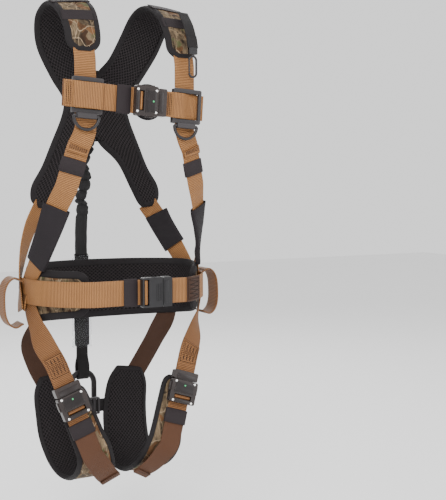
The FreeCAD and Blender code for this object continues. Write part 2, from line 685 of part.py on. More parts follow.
def corded(points, radius):
    """Round tube along straight runs joined by tangent arcs."""
    points = [Vector(*p) for p in points]
    edges = []
    start = points[0]
    for before, corner, after in zip(points, points[1:], points[2:]):
        inward = unit(before - corner)
        onward = unit(after - corner)
        half_turn = (math.pi - inward.getAngle(onward)) / 2
        reach = 0.45 * min((before - corner).Length, (after - corner).Length)
        bend = reach / math.tan(half_turn)
        print(f"cord arc radius {bend:7.1f} mm")
        arc_start = corner + inward * reach
        arc_end = corner + onward * reach
        bisector = unit(inward + onward)
        centre = corner + bisector * (bend / math.cos(half_turn))
        middle = centre - bisector * bend
        edges.append(Part.LineSegment(start, arc_start).toShape())
        edges.append(Part.Arc(arc_start, middle, arc_end).toShape())
        start = arc_end
    edges.append(Part.LineSegment(start, points[-1]).toShape())
    path = Part.Wire(edges)
    ring = Part.Wire(Part.makeCircle(radius, points[0], points[1] - points[0]))
    tube = path.makePipeShell([ring], True, False)
    expected = math.pi * radius ** 2 * path.Length
    if abs(tube.Volume - expected) > 0.01 * expected:
        raise RuntimeError("the tether's tube is not its section times its length")
    print(f"tether length {path.Length:.1f} mm")
    return tube


soft("tether_cord", corded(CORD_ROUTE, size("cord_radius")))

TETHER = Placement(Vector(size("tether_x"), size("tether_y"), size("pack_top")), Rotation())
pack = round_edges(block(("@pack_width - 8", "@pack_thick", "@pack_length"),
                         ("0", "0", "-@pack_length / 2")), 2, Z_AXIS)
neck = block(("24", "4", "30"), ("0", "0", "-@pack_length - 14"))
loop_outer = block(("24", "21", "34"), ("0", "0", "-@pack_length - 45"))
loop_inner = block(("26", "17", "30"), ("0", "0", "-@pack_length - 45"))
keep("absorber_pack", place(fuse(pack, neck, cut(loop_outer, loop_inner)), TETHER))
cover_room = block(("@pack_width - 7", "@pack_thick + 1", "@pack_length + 10"),
                   ("0", "0", "-@pack_length / 2"))
cover = round_edges(block(("@pack_width + 2", "@pack_thick + 1 + 2 * @sleeve_wall",
                           "@pack_length"), ("0", "0", "-@pack_length / 2")), 2, Z_AXIS)
keep("absorber_cover", place(cut(cover, cover_room), TETHER))

# Carabiner: in its frame the top of the bar inside the webbing loop is at the origin. The
# gate closes the right side between two lugs.
HOOK_DROP = size("pack_length") + 60 - size("hook_wire") - 4.5
HOOK = TETHER.multiply(Placement(Vector(0, 0, -HOOK_DROP), Rotation()))
HOOK_HIGH = "(-@hook_half_width)"
HOOK_LOW = "(-@hook_half_width - @hook_straight)"
over = ring_arc("@hook_wire", "@hook_half_width", ("0", "0", HOOK_HIGH), Rotation(X_AXIS, 90))
under = ring_arc("@hook_wire", "@hook_half_width", ("0", "0", HOOK_LOW), Rotation(X_AXIS, -90))
spine = rod("@hook_wire", "@hook_straight", ("@hook_half_width", "0", HOOK_LOW), "z")
keep("carabiner", place(fuse(over, under, spine), HOOK))
GATE_PIVOT = f"({HOOK_LOW} + @hook_wire - 0.3)"
gate_bar = rod("@hook_wire - 0.7", "@hook_straight - @hook_wire - 0.5",
               ("-@hook_half_width", "0", GATE_PIVOT), "z")
gate = fuse(gate_bar, ball("@hook_wire - 0.7", ("-@hook_half_width", "0", GATE_PIVOT)))
lock_room = rod("@hook_wire - 1.2", "24", ("-@hook_half_width", "0", f"{HOOK_LOW} + 14"), "z")
stem = cut(gate, cut(rod("@hook_wire + 2", "24", ("-@hook_half_width", "0",
                                                  f"{HOOK_LOW} + 14"), "z"), lock_room))
keep("carabiner_gate", place(stem, HOOK))
lock = rod("@hook_wire + 1.3", "16", ("-@hook_half_width", "0", f"{HOOK_LOW} + 15"), "z")
lock_bore = rod("@hook_wire - 1.2 + @pin_gap", "20", ("-@hook_half_width", "0",
                                                      f"{HOOK_LOW} + 13"), "z")
keep("carabiner_lock", place(cut(lock, lock_bore), HOOK))


# ---- Accessory hook on the left shoulder ----------------------------------------------
SNAP_ROUTE = ((106, -76, -8), (104, -102, -34), (103, -115, -56), (103, -121, -76))
soft("snap_strap", band_solid([Vector(*p) for p in SNAP_ROUTE], forward, 20, THICK))
SNAP = Placement(Vector(103, -121, -84), Rotation())
eye = round_edges(block(("16", "6", "12"), ("0", "0", "3")), 1.5, Y_AXIS)
eye_room = block(("21", "@webbing_thick + 2 * @gap", "6"), ("0", "0", "9"))
eye_bore = rod("2 + @pin_gap", "10", ("0", "0", "-6"), "z")
keep("snap_eye", place(cut(eye, eye_room, eye_bore), SNAP))
SNAP_HALF = "7"
SNAP_TOP = "(-6 - 7)"
pin = rod("2", "7.5", ("0", "0", "-7"), "z")
knob = rod("3.4", "2.6", ("0", "0", "-6.2"), "z")
crown = ring_arc("@snap_wire", SNAP_HALF, ("0", "0", SNAP_TOP), Rotation(X_AXIS, 90))
hook_low = ring_arc("@snap_wire", SNAP_HALF, ("0", "0", f"{SNAP_TOP} - 22"), Rotation(X_AXIS, -90))
back = rod("@snap_wire", "22", (SNAP_HALF, "0", f"{SNAP_TOP} - 22"), "z")
keep("snap_hook", place(fuse(pin, knob, crown, hook_low, back), SNAP))
SNAP_PIVOT = f"({SNAP_TOP} - 22 + @snap_wire)"
snap_bar = rod("@snap_wire - 0.4", "22 - @snap_wire - 0.4", (f"-{SNAP_HALF}", "0", SNAP_PIVOT), "z")
snap_foot = ball("@snap_wire - 0.4", (f"-{SNAP_HALF}", "0", SNAP_PIVOT))
keep("snap_gate", place(fuse(snap_bar, snap_foot), SNAP))


# ---- Check and write ------------------------------------------------------------------
doc.recompute()
for thing in doc.Objects:
    if "Invalid" in thing.State or "Error" in thing.State:
        raise RuntimeError(f"{thing.Label} did not build: {thing.State}")
os.makedirs("parts", exist_ok=True)
for label, thing in PARTS.items():
    if thing.Shape.isNull() or not thing.Shape.isValid():
        raise RuntimeError(f"{label} has no valid shape")
    thing.Shape.exportStep(f"parts/{label}.step")
    print(f"{label:24s} solids {len(thing.Shape.Solids):2d}  volume {thing.Shape.Volume:10.1f}")
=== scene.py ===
import math

import bmesh
import bpy
from mathutils import Matrix, Vector, noise
from mathutils.geometry import interpolate_bezier


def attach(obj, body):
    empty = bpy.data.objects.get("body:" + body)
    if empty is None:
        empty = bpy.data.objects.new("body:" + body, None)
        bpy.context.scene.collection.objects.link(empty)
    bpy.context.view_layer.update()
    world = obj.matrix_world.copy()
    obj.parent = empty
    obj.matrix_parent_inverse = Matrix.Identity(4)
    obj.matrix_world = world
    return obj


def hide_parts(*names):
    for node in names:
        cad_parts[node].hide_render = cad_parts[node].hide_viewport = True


# Full-body safety harness, in metres: +Z is up, the chest faces -Y and +X is the wearer's
# left. The origin lies between the shoulders, where the yoke rests on the wearer.
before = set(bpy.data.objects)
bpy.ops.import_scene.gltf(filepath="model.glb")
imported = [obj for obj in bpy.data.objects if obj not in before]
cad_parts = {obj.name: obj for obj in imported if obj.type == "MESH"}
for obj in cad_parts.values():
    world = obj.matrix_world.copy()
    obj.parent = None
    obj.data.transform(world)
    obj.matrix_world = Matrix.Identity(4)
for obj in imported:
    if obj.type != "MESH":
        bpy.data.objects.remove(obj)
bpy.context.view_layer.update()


# ---- Studio ---------------------------------------------------------------------------
# The harness hangs over a plain pale floor, in soft light from the front and both sides,
# and is seen from the front with its right shoulder nearer.
camera_data = bpy.data.cameras.new("Camera")
camera_data.lens = 66.17
camera_data.sensor_width = 36
camera = bpy.data.objects.new("Camera", camera_data)
bpy.context.collection.objects.link(camera)
camera.location = (-0.6376, -1.5750, -0.3118)
sight = Vector((0.48136, 0.87352, -0.07243))
camera.rotation_euler = sight.to_track_quat("-Z", "Y").to_euler()
bpy.context.scene.camera = camera

LAMPS = (                 # name, place, size, power
    ("key_lamp", (-1.5, -2.1, 1.3), 1.2, 80),
    ("fill_lamp", (1.9, -1.7, 0.2), 1.8, 26),
    ("back_lamp", (0.6, 2.0, 1.1), 1.6, 40),
    ("low_lamp", (-0.4, -1.6, -1.0), 1.4, 10),
)
for name, place, size, power in LAMPS:
    lamp_data = bpy.data.lights.new(name, "AREA")
    lamp_data.size = size
    lamp_data.energy = power
    lamp = bpy.data.objects.new(name, lamp_data)
    bpy.context.collection.objects.link(lamp)
    lamp.location = place
    aim = Vector((0, 0, -0.4)) - lamp.location
    lamp.rotation_euler = aim.to_track_quat("-Z", "Y").to_euler()

world = bpy.data.worlds.new("studio")
bpy.context.scene.world = world
world.use_nodes = True
world.node_tree.nodes["Background"].inputs["Color"].default_value = (1, 1, 1, 1)
world.node_tree.nodes["Background"].inputs["Strength"].default_value = 1.25


def finish(name, colour, roughness, **sockets):
    """Material whose even values stand on its own surface shader."""
    made = bpy.data.materials.new(name)
    made.use_nodes = True
    shader = made.node_tree.nodes["Principled BSDF"]
    shader.inputs["Base Color"].default_value = (*colour, 1)
    shader.inputs["Roughness"].default_value = roughness
    for socket, value in sockets.items():
        shader.inputs[socket.replace("_", " ")].default_value = value
    return made


def add(material, kind, inputs=None, out=0, **settings):
    """Shader node; each input is a value or the output of another node."""
    made = material.node_tree.nodes.new("ShaderNode" + kind)
    for name, value in settings.items():
        setattr(made, name, value)
    for name, value in (inputs or {}).items():
        if isinstance(value, bpy.types.NodeSocket):
            material.node_tree.links.new(value, made.inputs[name])
        else:
            made.inputs[name].default_value = value
    return made.outputs[out]


def blended(material, amount, low, high):
    """Colour that goes from low to high as the amount goes from 0 to 1."""
    return add(material, "MixRGB", {"Fac": amount,
                                    "Color1": (*low, 1) if len(low) == 3 else low,
                                    "Color2": (*high, 1) if len(high) == 3 else high})


def apply_look(material, colour=None, height=None, depth=0.0004, strength=0.6, rough=None):
    """Link a pattern's colour, height and roughness to the material's shader."""
    shader = material.node_tree.nodes["Principled BSDF"]
    links = material.node_tree.links
    if colour is not None:
        links.new(colour, shader.inputs["Base Color"])
    if rough is not None:
        links.new(rough, shader.inputs["Roughness"])
    if height is not None:
        bump = add(material, "Bump", {"Strength": strength, "Distance": depth, "Height": height})
        links.new(bump, shader.inputs["Normal"])
    return material


floor_mesh = bmesh.new()
bmesh.ops.create_grid(floor_mesh, x_segments=1, y_segments=1, size=6,
                      matrix=Matrix.Translation((0, 0, -1.05)))
floor_data = bpy.data.meshes.new("floor")
floor_mesh.to_mesh(floor_data)
floor_mesh.free()
floor_paint = finish("floor_paint", (0.86, 0.86, 0.86), 0.75)
apply_look(floor_paint, blended(floor_paint, add(floor_paint, "TexNoise", {"Scale": 3.0}),
                                (0.84, 0.84, 0.84), (0.88, 0.88, 0.88)))
floor_data.materials.append(floor_paint)
floor = bpy.data.objects.new("floor", floor_data)
bpy.context.collection.objects.link(floor)


# ---- Tether sleeve --------------------------------------------------------------------
# A black elastic sleeve gathered over the tether's webbing, so that it can stretch. It is
# sewn to the back of the yoke and hangs down to the energy absorber.
def piece(name, mesh, materials, body):
    """Object from a finished bmesh, riding on a body of the frame."""
    data = bpy.data.meshes.new(name)
    for face in mesh.faces:
        face.smooth = True
    mesh.to_mesh(data)
    mesh.free()
    for material in materials:
        data.materials.append(material)
    made = bpy.data.objects.new(name, data)
    bpy.context.collection.objects.link(made)
    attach(made, body)
    return made


def rounder(thing, levels=1):
    """Finish a piece with a subdivision surface."""
    surface = thing.modifiers.new("rounder", "SUBSURF")
    surface.levels = levels
    surface.render_levels = levels
    return thing


def extruded(mesh, section, stations, place, closed=False, capped=True):
    """Extrude a closed section through stations; place gives each point and its UV."""
    where = mesh.verts.layers.float_vector.new("where")
    corner = mesh.verts.layers.int.new("corner")
    uv = mesh.loops.layers.uv.new("UVMap")
    ring = [mesh.verts.new((0, 0, 0)) for k in section]
    for k, vert in enumerate(ring):
        vert[corner] = k
    edges = [mesh.edges.new((ring[k - 1], ring[k])) for k in range(len(ring))]
    first = list(ring)
    for number, station in enumerate(stations):
        if number:
            made = bmesh.ops.extrude_edge_only(mesh, edges=edges)["geom"]
            ring = [item for item in made if isinstance(item, bmesh.types.BMVert)]
            edges = [item for item in made if isinstance(item, bmesh.types.BMEdge)
                     and item.verts[0] in ring and item.verts[1] in ring]
        for vert in ring:
            spot, across, along = place(section[vert[corner]], station)
            vert.co = spot
            vert[where] = (across, along, 0)
    if closed:
        starts = sorted(first, key=lambda vert: vert[corner])
        ends = sorted(ring, key=lambda vert: vert[corner])
        bmesh.ops.bridge_loops(mesh, edges=[mesh.edges.get((a, b)) for loop in (starts, ends)
                                            for a, b in zip(loop, loop[1:] + loop[:1])])
    elif capped:
        bmesh.ops.holes_fill(mesh, edges=[e for e in mesh.edges if e.is_boundary])
    bmesh.ops.recalc_face_normals(mesh, faces=mesh.faces)
    for face in mesh.faces:
        for loop in face.loops:
            loop[uv].uv = loop.vert[where].xy
    return mesh


def woven(name, light, dark, rib=0.0023, roughness=0.62, depth=0.0007, sheen=0.0):
    """Woven tape: ribs across the strap, fine yarns along it, and uneven dye."""
    cloth = finish(name, light, roughness, Sheen_Weight=sheen, Sheen_Roughness=0.5,
                   Specular_IOR_Level=0.22)
    place = add(cloth, "TexCoord", out="UV")
    ribs = add(cloth, "TexWave", {"Vector": place, "Scale": 0.31416 / rib, "Distortion": 0.9,
                                  "Detail": 1.0, "Detail Scale": 2.0}, out="Fac",
               bands_direction="Y")
    yarns = add(cloth, "TexWave", {"Vector": place, "Scale": 0.31416 / 0.0013, "Distortion": 0.5,
                                   "Detail": 1.0}, out="Fac", bands_direction="X")
    weave = add(cloth, "Math", {0: ribs, 1: yarns, 2: 0.0}, operation="MULTIPLY_ADD")
    weave = add(cloth, "Math", {0: weave, 1: 0.5, 2: add(cloth, "Math", {0: ribs, 1: 0.5},
                                                         operation="MULTIPLY")},
                operation="MULTIPLY_ADD")
    solid = add(cloth, "TexCoord", out="Object")
    dye = add(cloth, "TexNoise", {"Vector": solid, "Scale": 26.0, "Detail": 3.0}, out="Fac")
    fuzz = add(cloth, "TexNoise", {"Vector": solid, "Scale": 900.0, "Detail": 2.0}, out="Fac")
    tone = add(cloth, "MapRange", {"Value": weave, "From Min": 0.0, "From Max": 1.0,
                                   "To Min": 0.0, "To Max": 1.0})
    tone = add(cloth, "Math", {0: tone, 1: add(cloth, "MapRange", {
        "Value": dye, "From Min": 0.3, "From Max": 0.7, "To Min": 0.78, "To Max": 1.0})},
        operation="MULTIPLY")
    tone = add(cloth, "Math", {0: tone, 1: add(cloth, "MapRange", {
        "Value": fuzz, "To Min": 0.85, "To Max": 1.12})}, operation="MULTIPLY")
    worn = add(cloth, "MapRange", {"Value": dye, "To Min": roughness - 0.08,
                                   "To Max": roughness + 0.12})
    return apply_look(cloth, blended(cloth, tone, dark, light), weave, depth, 0.7, worn)


sleeve_cloth = woven("elastic_sleeve", (0.024, 0.022, 0.024), (0.006, 0.006, 0.006), 0.0014, 0.68,
                     0.0004)
TETHER_ROUTE = ((0, 0.104, -0.150), (-0.003, 0.113, -0.205), (-0.008, 0.121, -0.262),
                (-0.011, 0.129, -0.325), (-0.014, 0.133, -0.388), (-0.014, 0.134, -0.452))
TETHER_RADIUS = 0.012
route_data = bpy.data.curves.new("tether_route", "CURVE")
route_data.dimensions = "3D"
spline = route_data.splines.new("NURBS")
spline.points.add(len(TETHER_ROUTE) - 1)
for point, place in zip(spline.points, TETHER_ROUTE):
    point.co = (*place, 1)
spline.order_u = 3
spline.use_endpoint_u = True
spline.resolution_u = 40
route = bpy.data.objects.new("tether_route", route_data)
bpy.context.collection.objects.link(route)
line_mesh = bpy.data.meshes.new_from_object(route)
tether_line = [vert.co.copy() for vert in line_mesh.vertices]
bpy.data.objects.remove(route)
bpy.data.meshes.remove(line_mesh)


def distances(line):
    """Distance from the start of a line to each of its points."""
    run = [0.0]
    for before, after in zip(line, line[1:]):
        run.append(run[-1] + (after - before).length)
    return run


tether_run = distances(tether_line)
TETHER_LENGTH = tether_run[-1]
SLEEVE_SIDES = 28


def sleeve_point(turn, station):
    """Gathered sleeve: folds wind round it, deep in the middle and flat near its ends."""
    number, spot = station
    run = tether_run[number]
    along = (tether_line[min(number + 1, len(tether_line) - 1)]
             - tether_line[max(number - 1, 0)]).normalized()
    across = along.cross(Vector((0, 1, 0))).normalized()
    out = across.cross(along)
    gather = min(run / 0.03, 1, max((TETHER_LENGTH - run - 0.06) / 0.05, 0))
    drift = noise.noise(Vector((0, 0, run * 60))) * 2.2
    fold = abs(math.sin(run / 0.0175 * math.pi + drift + 0.5 * math.sin(turn)))
    bulge = 1 - 0.42 * gather * (1 - fold) ** 1.4
    crease = 0.03 * math.sin(5 * turn + run * 240) * (0.4 + 0.6 * gather)
    flat = 1 - 0.35 * (1 - gather) * abs(math.sin(turn))
    radius = TETHER_RADIUS * (bulge + crease) * 0.99
    sway = 0.0038 * gather * math.sin(run / 0.0175 * math.pi / 2 + drift)
    spot = spot + across * (math.cos(turn) * radius + sway) + out * math.sin(turn) * radius * flat
    return spot, turn * TETHER_RADIUS, run


sleeve_mesh = bmesh.new()
extruded(sleeve_mesh, [2 * math.pi * k / SLEEVE_SIDES for k in range(SLEEVE_SIDES)],
         list(enumerate(tether_line)), sleeve_point)
tether = piece("tether_sleeve", sleeve_mesh, [sleeve_cloth], "harness")
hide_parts("tether_cord")


# ---- Yoke -----------------------------------------------------------------------------
# The padded yoke lies on both shoulders and crosses between the shoulder blades. It is foam
# with printed cloth outside and spacer mesh inside, bound round its edge with black tape.
def spacer_mesh(name, colour, hole_shade):
    """Knitted spacer mesh: staggered oval holes, filled with painted shade, in a springy black cloth.
    """
    knit = finish(name, colour, 0.8, Specular_IOR_Level=0.15)
    place = add(knit, "TexCoord", out="UV")
    pitch = (0.0066, 0.0082, 1)
    grid = add(knit, "VectorMath", {0: place, 1: pitch}, operation="DIVIDE")
    nearest = []
    for shift in ((0, 0, 0), (0.5, 0.5, 0)):
        moved = add(knit, "VectorMath", {0: grid, 1: shift}, operation="ADD")
        cell = add(knit, "VectorMath", {0: moved}, operation="FRACTION")
        offset = add(knit, "VectorMath", {0: cell, 1: (0.5, 0.5, 0)}, operation="SUBTRACT")
        nearest.append(add(knit, "VectorMath", {0: offset}, out="Value", operation="LENGTH"))
    reach = add(knit, "Math", {0: nearest[0], 1: nearest[1]}, operation="MINIMUM")
    wall = add(knit, "MapRange", {"Value": reach, "From Min": 0.17, "From Max": 0.31},
               interpolation_type="SMOOTHSTEP")
    threads = add(knit, "TexNoise", {"Vector": place, "Scale": 1500.0, "Detail": 2.0}, out="Fac")
    height = add(knit, "Math", {0: threads, 1: 0.22, 2: wall}, operation="MULTIPLY_ADD")
    # The holes take the darker colour: painted shade in their depths.
    return apply_look(knit, blended(knit, wall, hole_shade, colour), height, 0.0016, 0.9)


def printed_cloth(name):
    """Woodland print: bark, dead leaves, pale twigs and a little green, on brushed cloth."""
    cloth = finish(name, (0.14, 0.10, 0.06), 0.78, Specular_IOR_Level=0.18)
    place = add(cloth, "TexCoord", out="Object")
    bent = add(cloth, "TexNoise", {"Vector": place, "Scale": 27.0, "Detail": 3.0}, out="Color")
    bent = add(cloth, "VectorMath", {0: bent, 1: (0.5, 0.5, 0.5)}, operation="SUBTRACT")
    bent = add(cloth, "VectorMath", {0: bent, 1: (0.026, 0.026, 0.026), 2: place},
               operation="MULTIPLY_ADD")
    stretched = add(cloth, "Mapping", {"Vector": bent, "Rotation": (0.3, 0.5, 0.2),
                                       "Scale": (92, 92, 21)})
    bark = add(cloth, "TexNoise", {"Vector": stretched, "Scale": 1.0, "Detail": 6.0,
                                   "Roughness": 0.7}, out="Fac")
    bark = add(cloth, "MapRange", {"Value": bark, "From Min": 0.36, "From Max": 0.64})
    colour = blended(cloth, bark, (0.012, 0.008, 0.005), (0.17, 0.118, 0.068))
    leaf_place = add(cloth, "Mapping", {"Vector": bent, "Rotation": (0.9, 0.2, 0.7),
                                        "Scale": (66, 66, 42)})
    leaves = add(cloth, "TexVoronoi", {"Vector": leaf_place, "Scale": 1.0}, out="Color")
    chosen = add(cloth, "SeparateColor", {"Color": leaves}, out=0)
    tint = add(cloth, "SeparateColor", {"Color": leaves}, out=1)
    leaf = blended(cloth, tint, (0.040, 0.019, 0.009), (0.14, 0.066, 0.027))
    shade = add(cloth, "MapRange", {"Value": bark, "To Min": 0.45, "To Max": 1.15})
    leaf = add(cloth, "MixRGB", {"Fac": 1.0, "Color1": leaf, "Color2": shade},
               blend_type="MULTIPLY")
    is_leaf = add(cloth, "Math", {0: chosen, 1: 0.72}, operation="GREATER_THAN")
    colour = add(cloth, "MixRGB", {"Fac": is_leaf, "Color1": colour, "Color2": leaf})
    green = add(cloth, "TexNoise", {"Vector": place, "Scale": 40.0, "Detail": 4.0}, out="Fac")
    green = add(cloth, "MapRange", {"Value": green, "From Min": 0.60, "From Max": 0.66,
                                    "To Max": 0.75})
    colour = add(cloth, "MixRGB", {"Fac": green, "Color1": colour,
                                   "Color2": (0.055, 0.070, 0.024, 1)})
    twig_place = add(cloth, "Mapping", {"Vector": bent, "Rotation": (1.2, 0.4, 1.9),
                                        "Scale": (52, 52, 16)})
    twigs = add(cloth, "TexVoronoi", {"Vector": twig_place, "Scale": 1.0}, out="Distance",
                feature="DISTANCE_TO_EDGE")
    twig = add(cloth, "MapRange", {"Value": twigs, "From Min": 0.006, "From Max": 0.019,
                                   "To Min": 1.0, "To Max": 0.0})
    colour = add(cloth, "MixRGB", {"Fac": twig, "Color1": colour,
                                   "Color2": (0.26, 0.19, 0.12, 1)})
    dark = add(cloth, "TexNoise", {"Vector": bent, "Scale": 105.0, "Detail": 2.0}, out="Fac")
    dark = add(cloth, "MapRange", {"Value": dark, "From Min": 0.62, "From Max": 0.68,
                                   "To Max": 0.85})
    colour = add(cloth, "MixRGB", {"Fac": dark, "Color1": colour,
                                   "Color2": (0.016, 0.012, 0.009, 1)})
    nap = add(cloth, "TexNoise", {"Vector": place, "Scale": 1300.0, "Detail": 2.0}, out="Fac")
    soft = add(cloth, "TexNoise", {"Vector": place, "Scale": 60.0, "Detail": 3.0}, out="Fac")
    nap = add(cloth, "Math", {0: nap, 1: 0.25, 2: soft}, operation="MULTIPLY_ADD")
    return apply_look(cloth, colour, nap, 0.0008, 0.6)


# Its second colour is the painted shade inside the mesh's holes.
lining = spacer_mesh("lining_mesh", (0.019, 0.0155, 0.0165), (0.0035, 0.003, 0.003))
camouflage = printed_cloth("camouflage")
binding_cloth = woven("binding_tape", (0.016, 0.013, 0.014), (0.005, 0.004, 0.0045), 0.0015, 0.74,
                      0.0003)


def smooth_line(points, straight=(), step=0.006):
    """Points on a smooth curve through a route, straight on the runs that are named."""
    points = [Vector(point) for point in points]
    last = len(points) - 1
    slopes = []
    for i, point in enumerate(points):
        if i in straight or i == 0:
            slope = points[i + 1] - point
        elif i - 1 in straight or i == last:
            slope = point - points[i - 1]
        else:
            slope = points[i + 1] - points[i - 1]
        slopes.append(slope.normalized())
    line = []
    for i in range(last):
        span = (points[i + 1] - points[i]).length
        count = max(3, round(span / step) + 1)
        line += interpolate_bezier(points[i], points[i] + slopes[i] * span / 3,
                                   points[i + 1] - slopes[i + 1] * span / 3, points[i + 1],
                                   count)[:-1]
    return line + [points[-1]]


def pad_grid(mesh, inner, outer, lifts, across):
    """Flat grid of a pad between two edge lines; a vertex keeps its lift and its place."""
    lift = mesh.verts.layers.float_vector["lift"]
    where = mesh.verts.layers.float_vector["where"]
    rows = len(inner)
    made = bmesh.ops.create_grid(mesh, x_segments=across, y_segments=rows - 1, size=0.5)["verts"]
    run = distances([(a + b) / 2 for a, b in zip(inner, outer)])
    for vert in made:
        share = vert.co.x + 0.5
        row = round((vert.co.y + 0.5) * (rows - 1))
        near, far = inner[row], outer[row]
        vert.co = near.lerp(far, share)
        vert[lift] = lifts[row]
        vert[where] = ((share - 0.5) * (far - near).length, run[row], 0)
    return made


def finish_pad(name, mesh, half_thick, body, tape=0.009, wrinkle=0.0009, seams=()):
    """Give a flat grid its padded thickness and bind its edge with tape."""
    lift = mesh.verts.layers.float_vector["lift"]
    where = mesh.verts.layers.float_vector["where"]
    uv = mesh.loops.layers.uv.new("UVMap")
    rim = [edge for edge in mesh.edges if edge.is_boundary]
    rim_points = order_ring(rim)
    outline = [(vert.co.copy(), vert[lift].copy()) for vert in rim_points]
    marks = [spot for spot, away in outline]
    shell = bmesh.ops.extrude_face_region(mesh, geom=list(mesh.faces))["geom"]
    top = {item for item in shell if isinstance(item, bmesh.types.BMVert)}
    for vert in mesh.verts:
        inboard = min((vert.co - mark).length for mark in marks)
        crown = 0.40 + 0.60 * (1 - (1 - min(inboard / 0.020, 1)) ** 2) ** 0.5
        for seam in seams:
            crown *= seam(vert.co)
        ripple = noise.noise(vert.co * 34 + Vector((0, 3, 0))) * wrinkle * min(inboard / 0.02, 1)
        side = 1 if vert in top else -1
        vert.co = vert.co + vert[lift] * (side * half_thick * 0.93 * crown + ripple)
    bmesh.ops.recalc_face_normals(mesh, faces=mesh.faces)
    for face in mesh.faces:
        tops = sum(vert in top for vert in face.verts)
        face.material_index = 0 if tops == len(face.verts) else 1 if tops == 0 else 2
        for loop in face.loops:
            loop[uv].uv = loop.vert[where].xy
    pad = rounder(piece(name, mesh, [camouflage, lining, binding_cloth], body), 2)

    tape_mesh = bmesh.new()
    count = len(outline)
    section = [(-0.0014, 0.0), (-0.0010, 0.30), (0.0006, 0.56), (0.003, 0.78),
               (tape * 0.7, 0.99), (tape, 1.02), (tape + 0.0005, 0.8),
               (tape + 0.0005, -0.8), (tape, -1.02), (tape * 0.7, -0.99), (0.003, -0.78),
               (0.0006, -0.56), (-0.0010, -0.30)]
    run = distances([spot for spot, away in outline])

    def taped(corner, number):
        spot, away = outline[number]
        ahead = (outline[(number + 2) % count][0] - outline[number - 2][0]).normalized()
        inboard = away.cross(ahead).normalized()
        if inboard.dot(inwards[number]) < 0:
            inboard = -inboard
        return (spot + inboard * corner[0] + away * corner[1] * half_thick,
                corner[0] + corner[1] * half_thick, run[number])

    inwards = []
    for vert_number, (spot, away) in enumerate(outline):
        inwards.append(rim_inward[vert_number])
    extruded(tape_mesh, section, list(range(count)), taped, closed=True)
    edge = rounder(piece(f"{name}_tape", tape_mesh, [binding_cloth], body), 1)
    return pad, edge


rim_inward = []


def order_ring(edges):
    """Vertices of a boundary in order; also notes which way the pad lies from each."""
    links = {}
    for edge in edges:
        for vert in edge.verts:
            links.setdefault(vert, []).append(edge)
    start = edges[0].verts[0]
    ring, edge = [start], links[start][0]
    while True:
        vert = edge.other_vert(ring[-1])
        if vert is start:
            break
        ring.append(vert)
        edge = next(other for other in links[vert] if other is not edge)
    rim_inward.clear()
    for vert in ring:
        middle = sum((face.calc_center_median() for face in vert.link_faces),
                     Vector()) / len(vert.link_faces)
        rim_inward.append(middle - vert.co)
    return ring


YOKE_HALF_THICK = 0.005
YOKE_EDGES = (            # inner edge, outer edge, direction away from the wearer
    ((0.080, -0.104, -0.094), (0.104, -0.104, -0.094), (0, -1, 0.05)),
    ((0.064, -0.102, -0.080), (0.119, -0.100, -0.080), (0, -1, 0.12)),
    ((0.061, -0.096, -0.054), (0.121, -0.092, -0.054), (0, -1, 0.35)),
    ((0.059, -0.071, -0.018), (0.124, -0.065, -0.022), (0.08, -0.8, 0.8)),
    ((0.057, -0.030, 0.004), (0.128, -0.026, -0.003), (0.12, -0.35, 1)),
    ((0.055, 0.006, 0.008), (0.130, 0.008, -0.005), (0.15, 0.05, 1)),
    ((0.052, 0.040, -0.005), (0.129, 0.042, -0.024), (0.12, 0.6, 0.8)),
    ((0.044, 0.066, -0.038), (0.118, 0.066, -0.066), (0.06, 0.9, 0.45)),
    ((0.026, 0.078, -0.078), (0.088, 0.078, -0.118), (0, 1, 0.15)),
    ((0, 0.081, -0.112), (0.064, 0.082, -0.154), (0, 1, 0)),
    ((0, 0.082, -0.168), (0.066, 0.083, -0.186), (0, 1, 0)),
    ((0, 0.083, -0.226), (0.088, 0.084, -0.240), (0, 1, 0)),
    ((0.044, 0.084, -0.270), (0.106, 0.084, -0.282), (0, 1, 0)),
    ((0.070, 0.084, -0.318), (0.126, 0.082, -0.316), (0.1, 1, 0)),
    ((0.086, 0.084, -0.348), (0.128, 0.082, -0.342), (0.1, 1, 0)),
    ((0.096, 0.084, -0.358), (0.116, 0.083, -0.356), (0.1, 1, 0)),
)
YOKE_SPINE = (9, 11)
YOKE_ROWS = 5             # rows of the grid between two of these sections


def mirrored(side, point):
    return Vector((side * point[0], point[1], point[2]))


def even_line(points, rows, straight=()):
    """Smooth line with the same number of points between any two points of its route."""
    points = [Vector(point) for point in points]
    line = []
    for i in range(len(points) - 1):
        before, after = points[max(i - 1, 0)], points[min(i + 2, len(points) - 1)]
        leave = (points[i + 1] - before) / 6
        arrive = (after - points[i]) / 6
        if i in straight:
            leave = arrive = (points[i + 1] - points[i]) / 3
        line += interpolate_bezier(points[i], points[i] + leave, points[i + 1] - arrive,
                                   points[i + 1], rows + 1)[:-1]
    return line + [points[-1]]


yoke_mesh = bmesh.new()
yoke_mesh.verts.layers.float_vector.new("lift")
yoke_mesh.verts.layers.float_vector.new("where")
for side in (-1, 1):
    lifts = []
    for before, after in zip(YOKE_EDGES, YOKE_EDGES[1:]):
        for k in range(YOKE_ROWS):
            turn = mirrored(side, before[2]).lerp(mirrored(side, after[2]), k / YOKE_ROWS)
            lifts.append(turn.normalized())
    lifts.append(mirrored(side, YOKE_EDGES[-1][2]).normalized())
    inner, outer = ([mirrored(side, section[edge]) for section in YOKE_EDGES]
                    for edge in (0, 1))
    pad_grid(yoke_mesh, even_line(inner, YOKE_ROWS, range(*YOKE_SPINE)),
             even_line(outer, YOKE_ROWS), lifts, 10)
spine_low, spine_high = (YOKE_EDGES[k][0][2] for k in reversed(YOKE_SPINE))
spine = [vert for vert in yoke_mesh.verts
         if abs(vert.co.x) < 0.0004 and spine_low - 0.001 < vert.co.z < spine_high + 0.001]
bmesh.ops.remove_doubles(yoke_mesh, verts=spine, dist=0.0006)
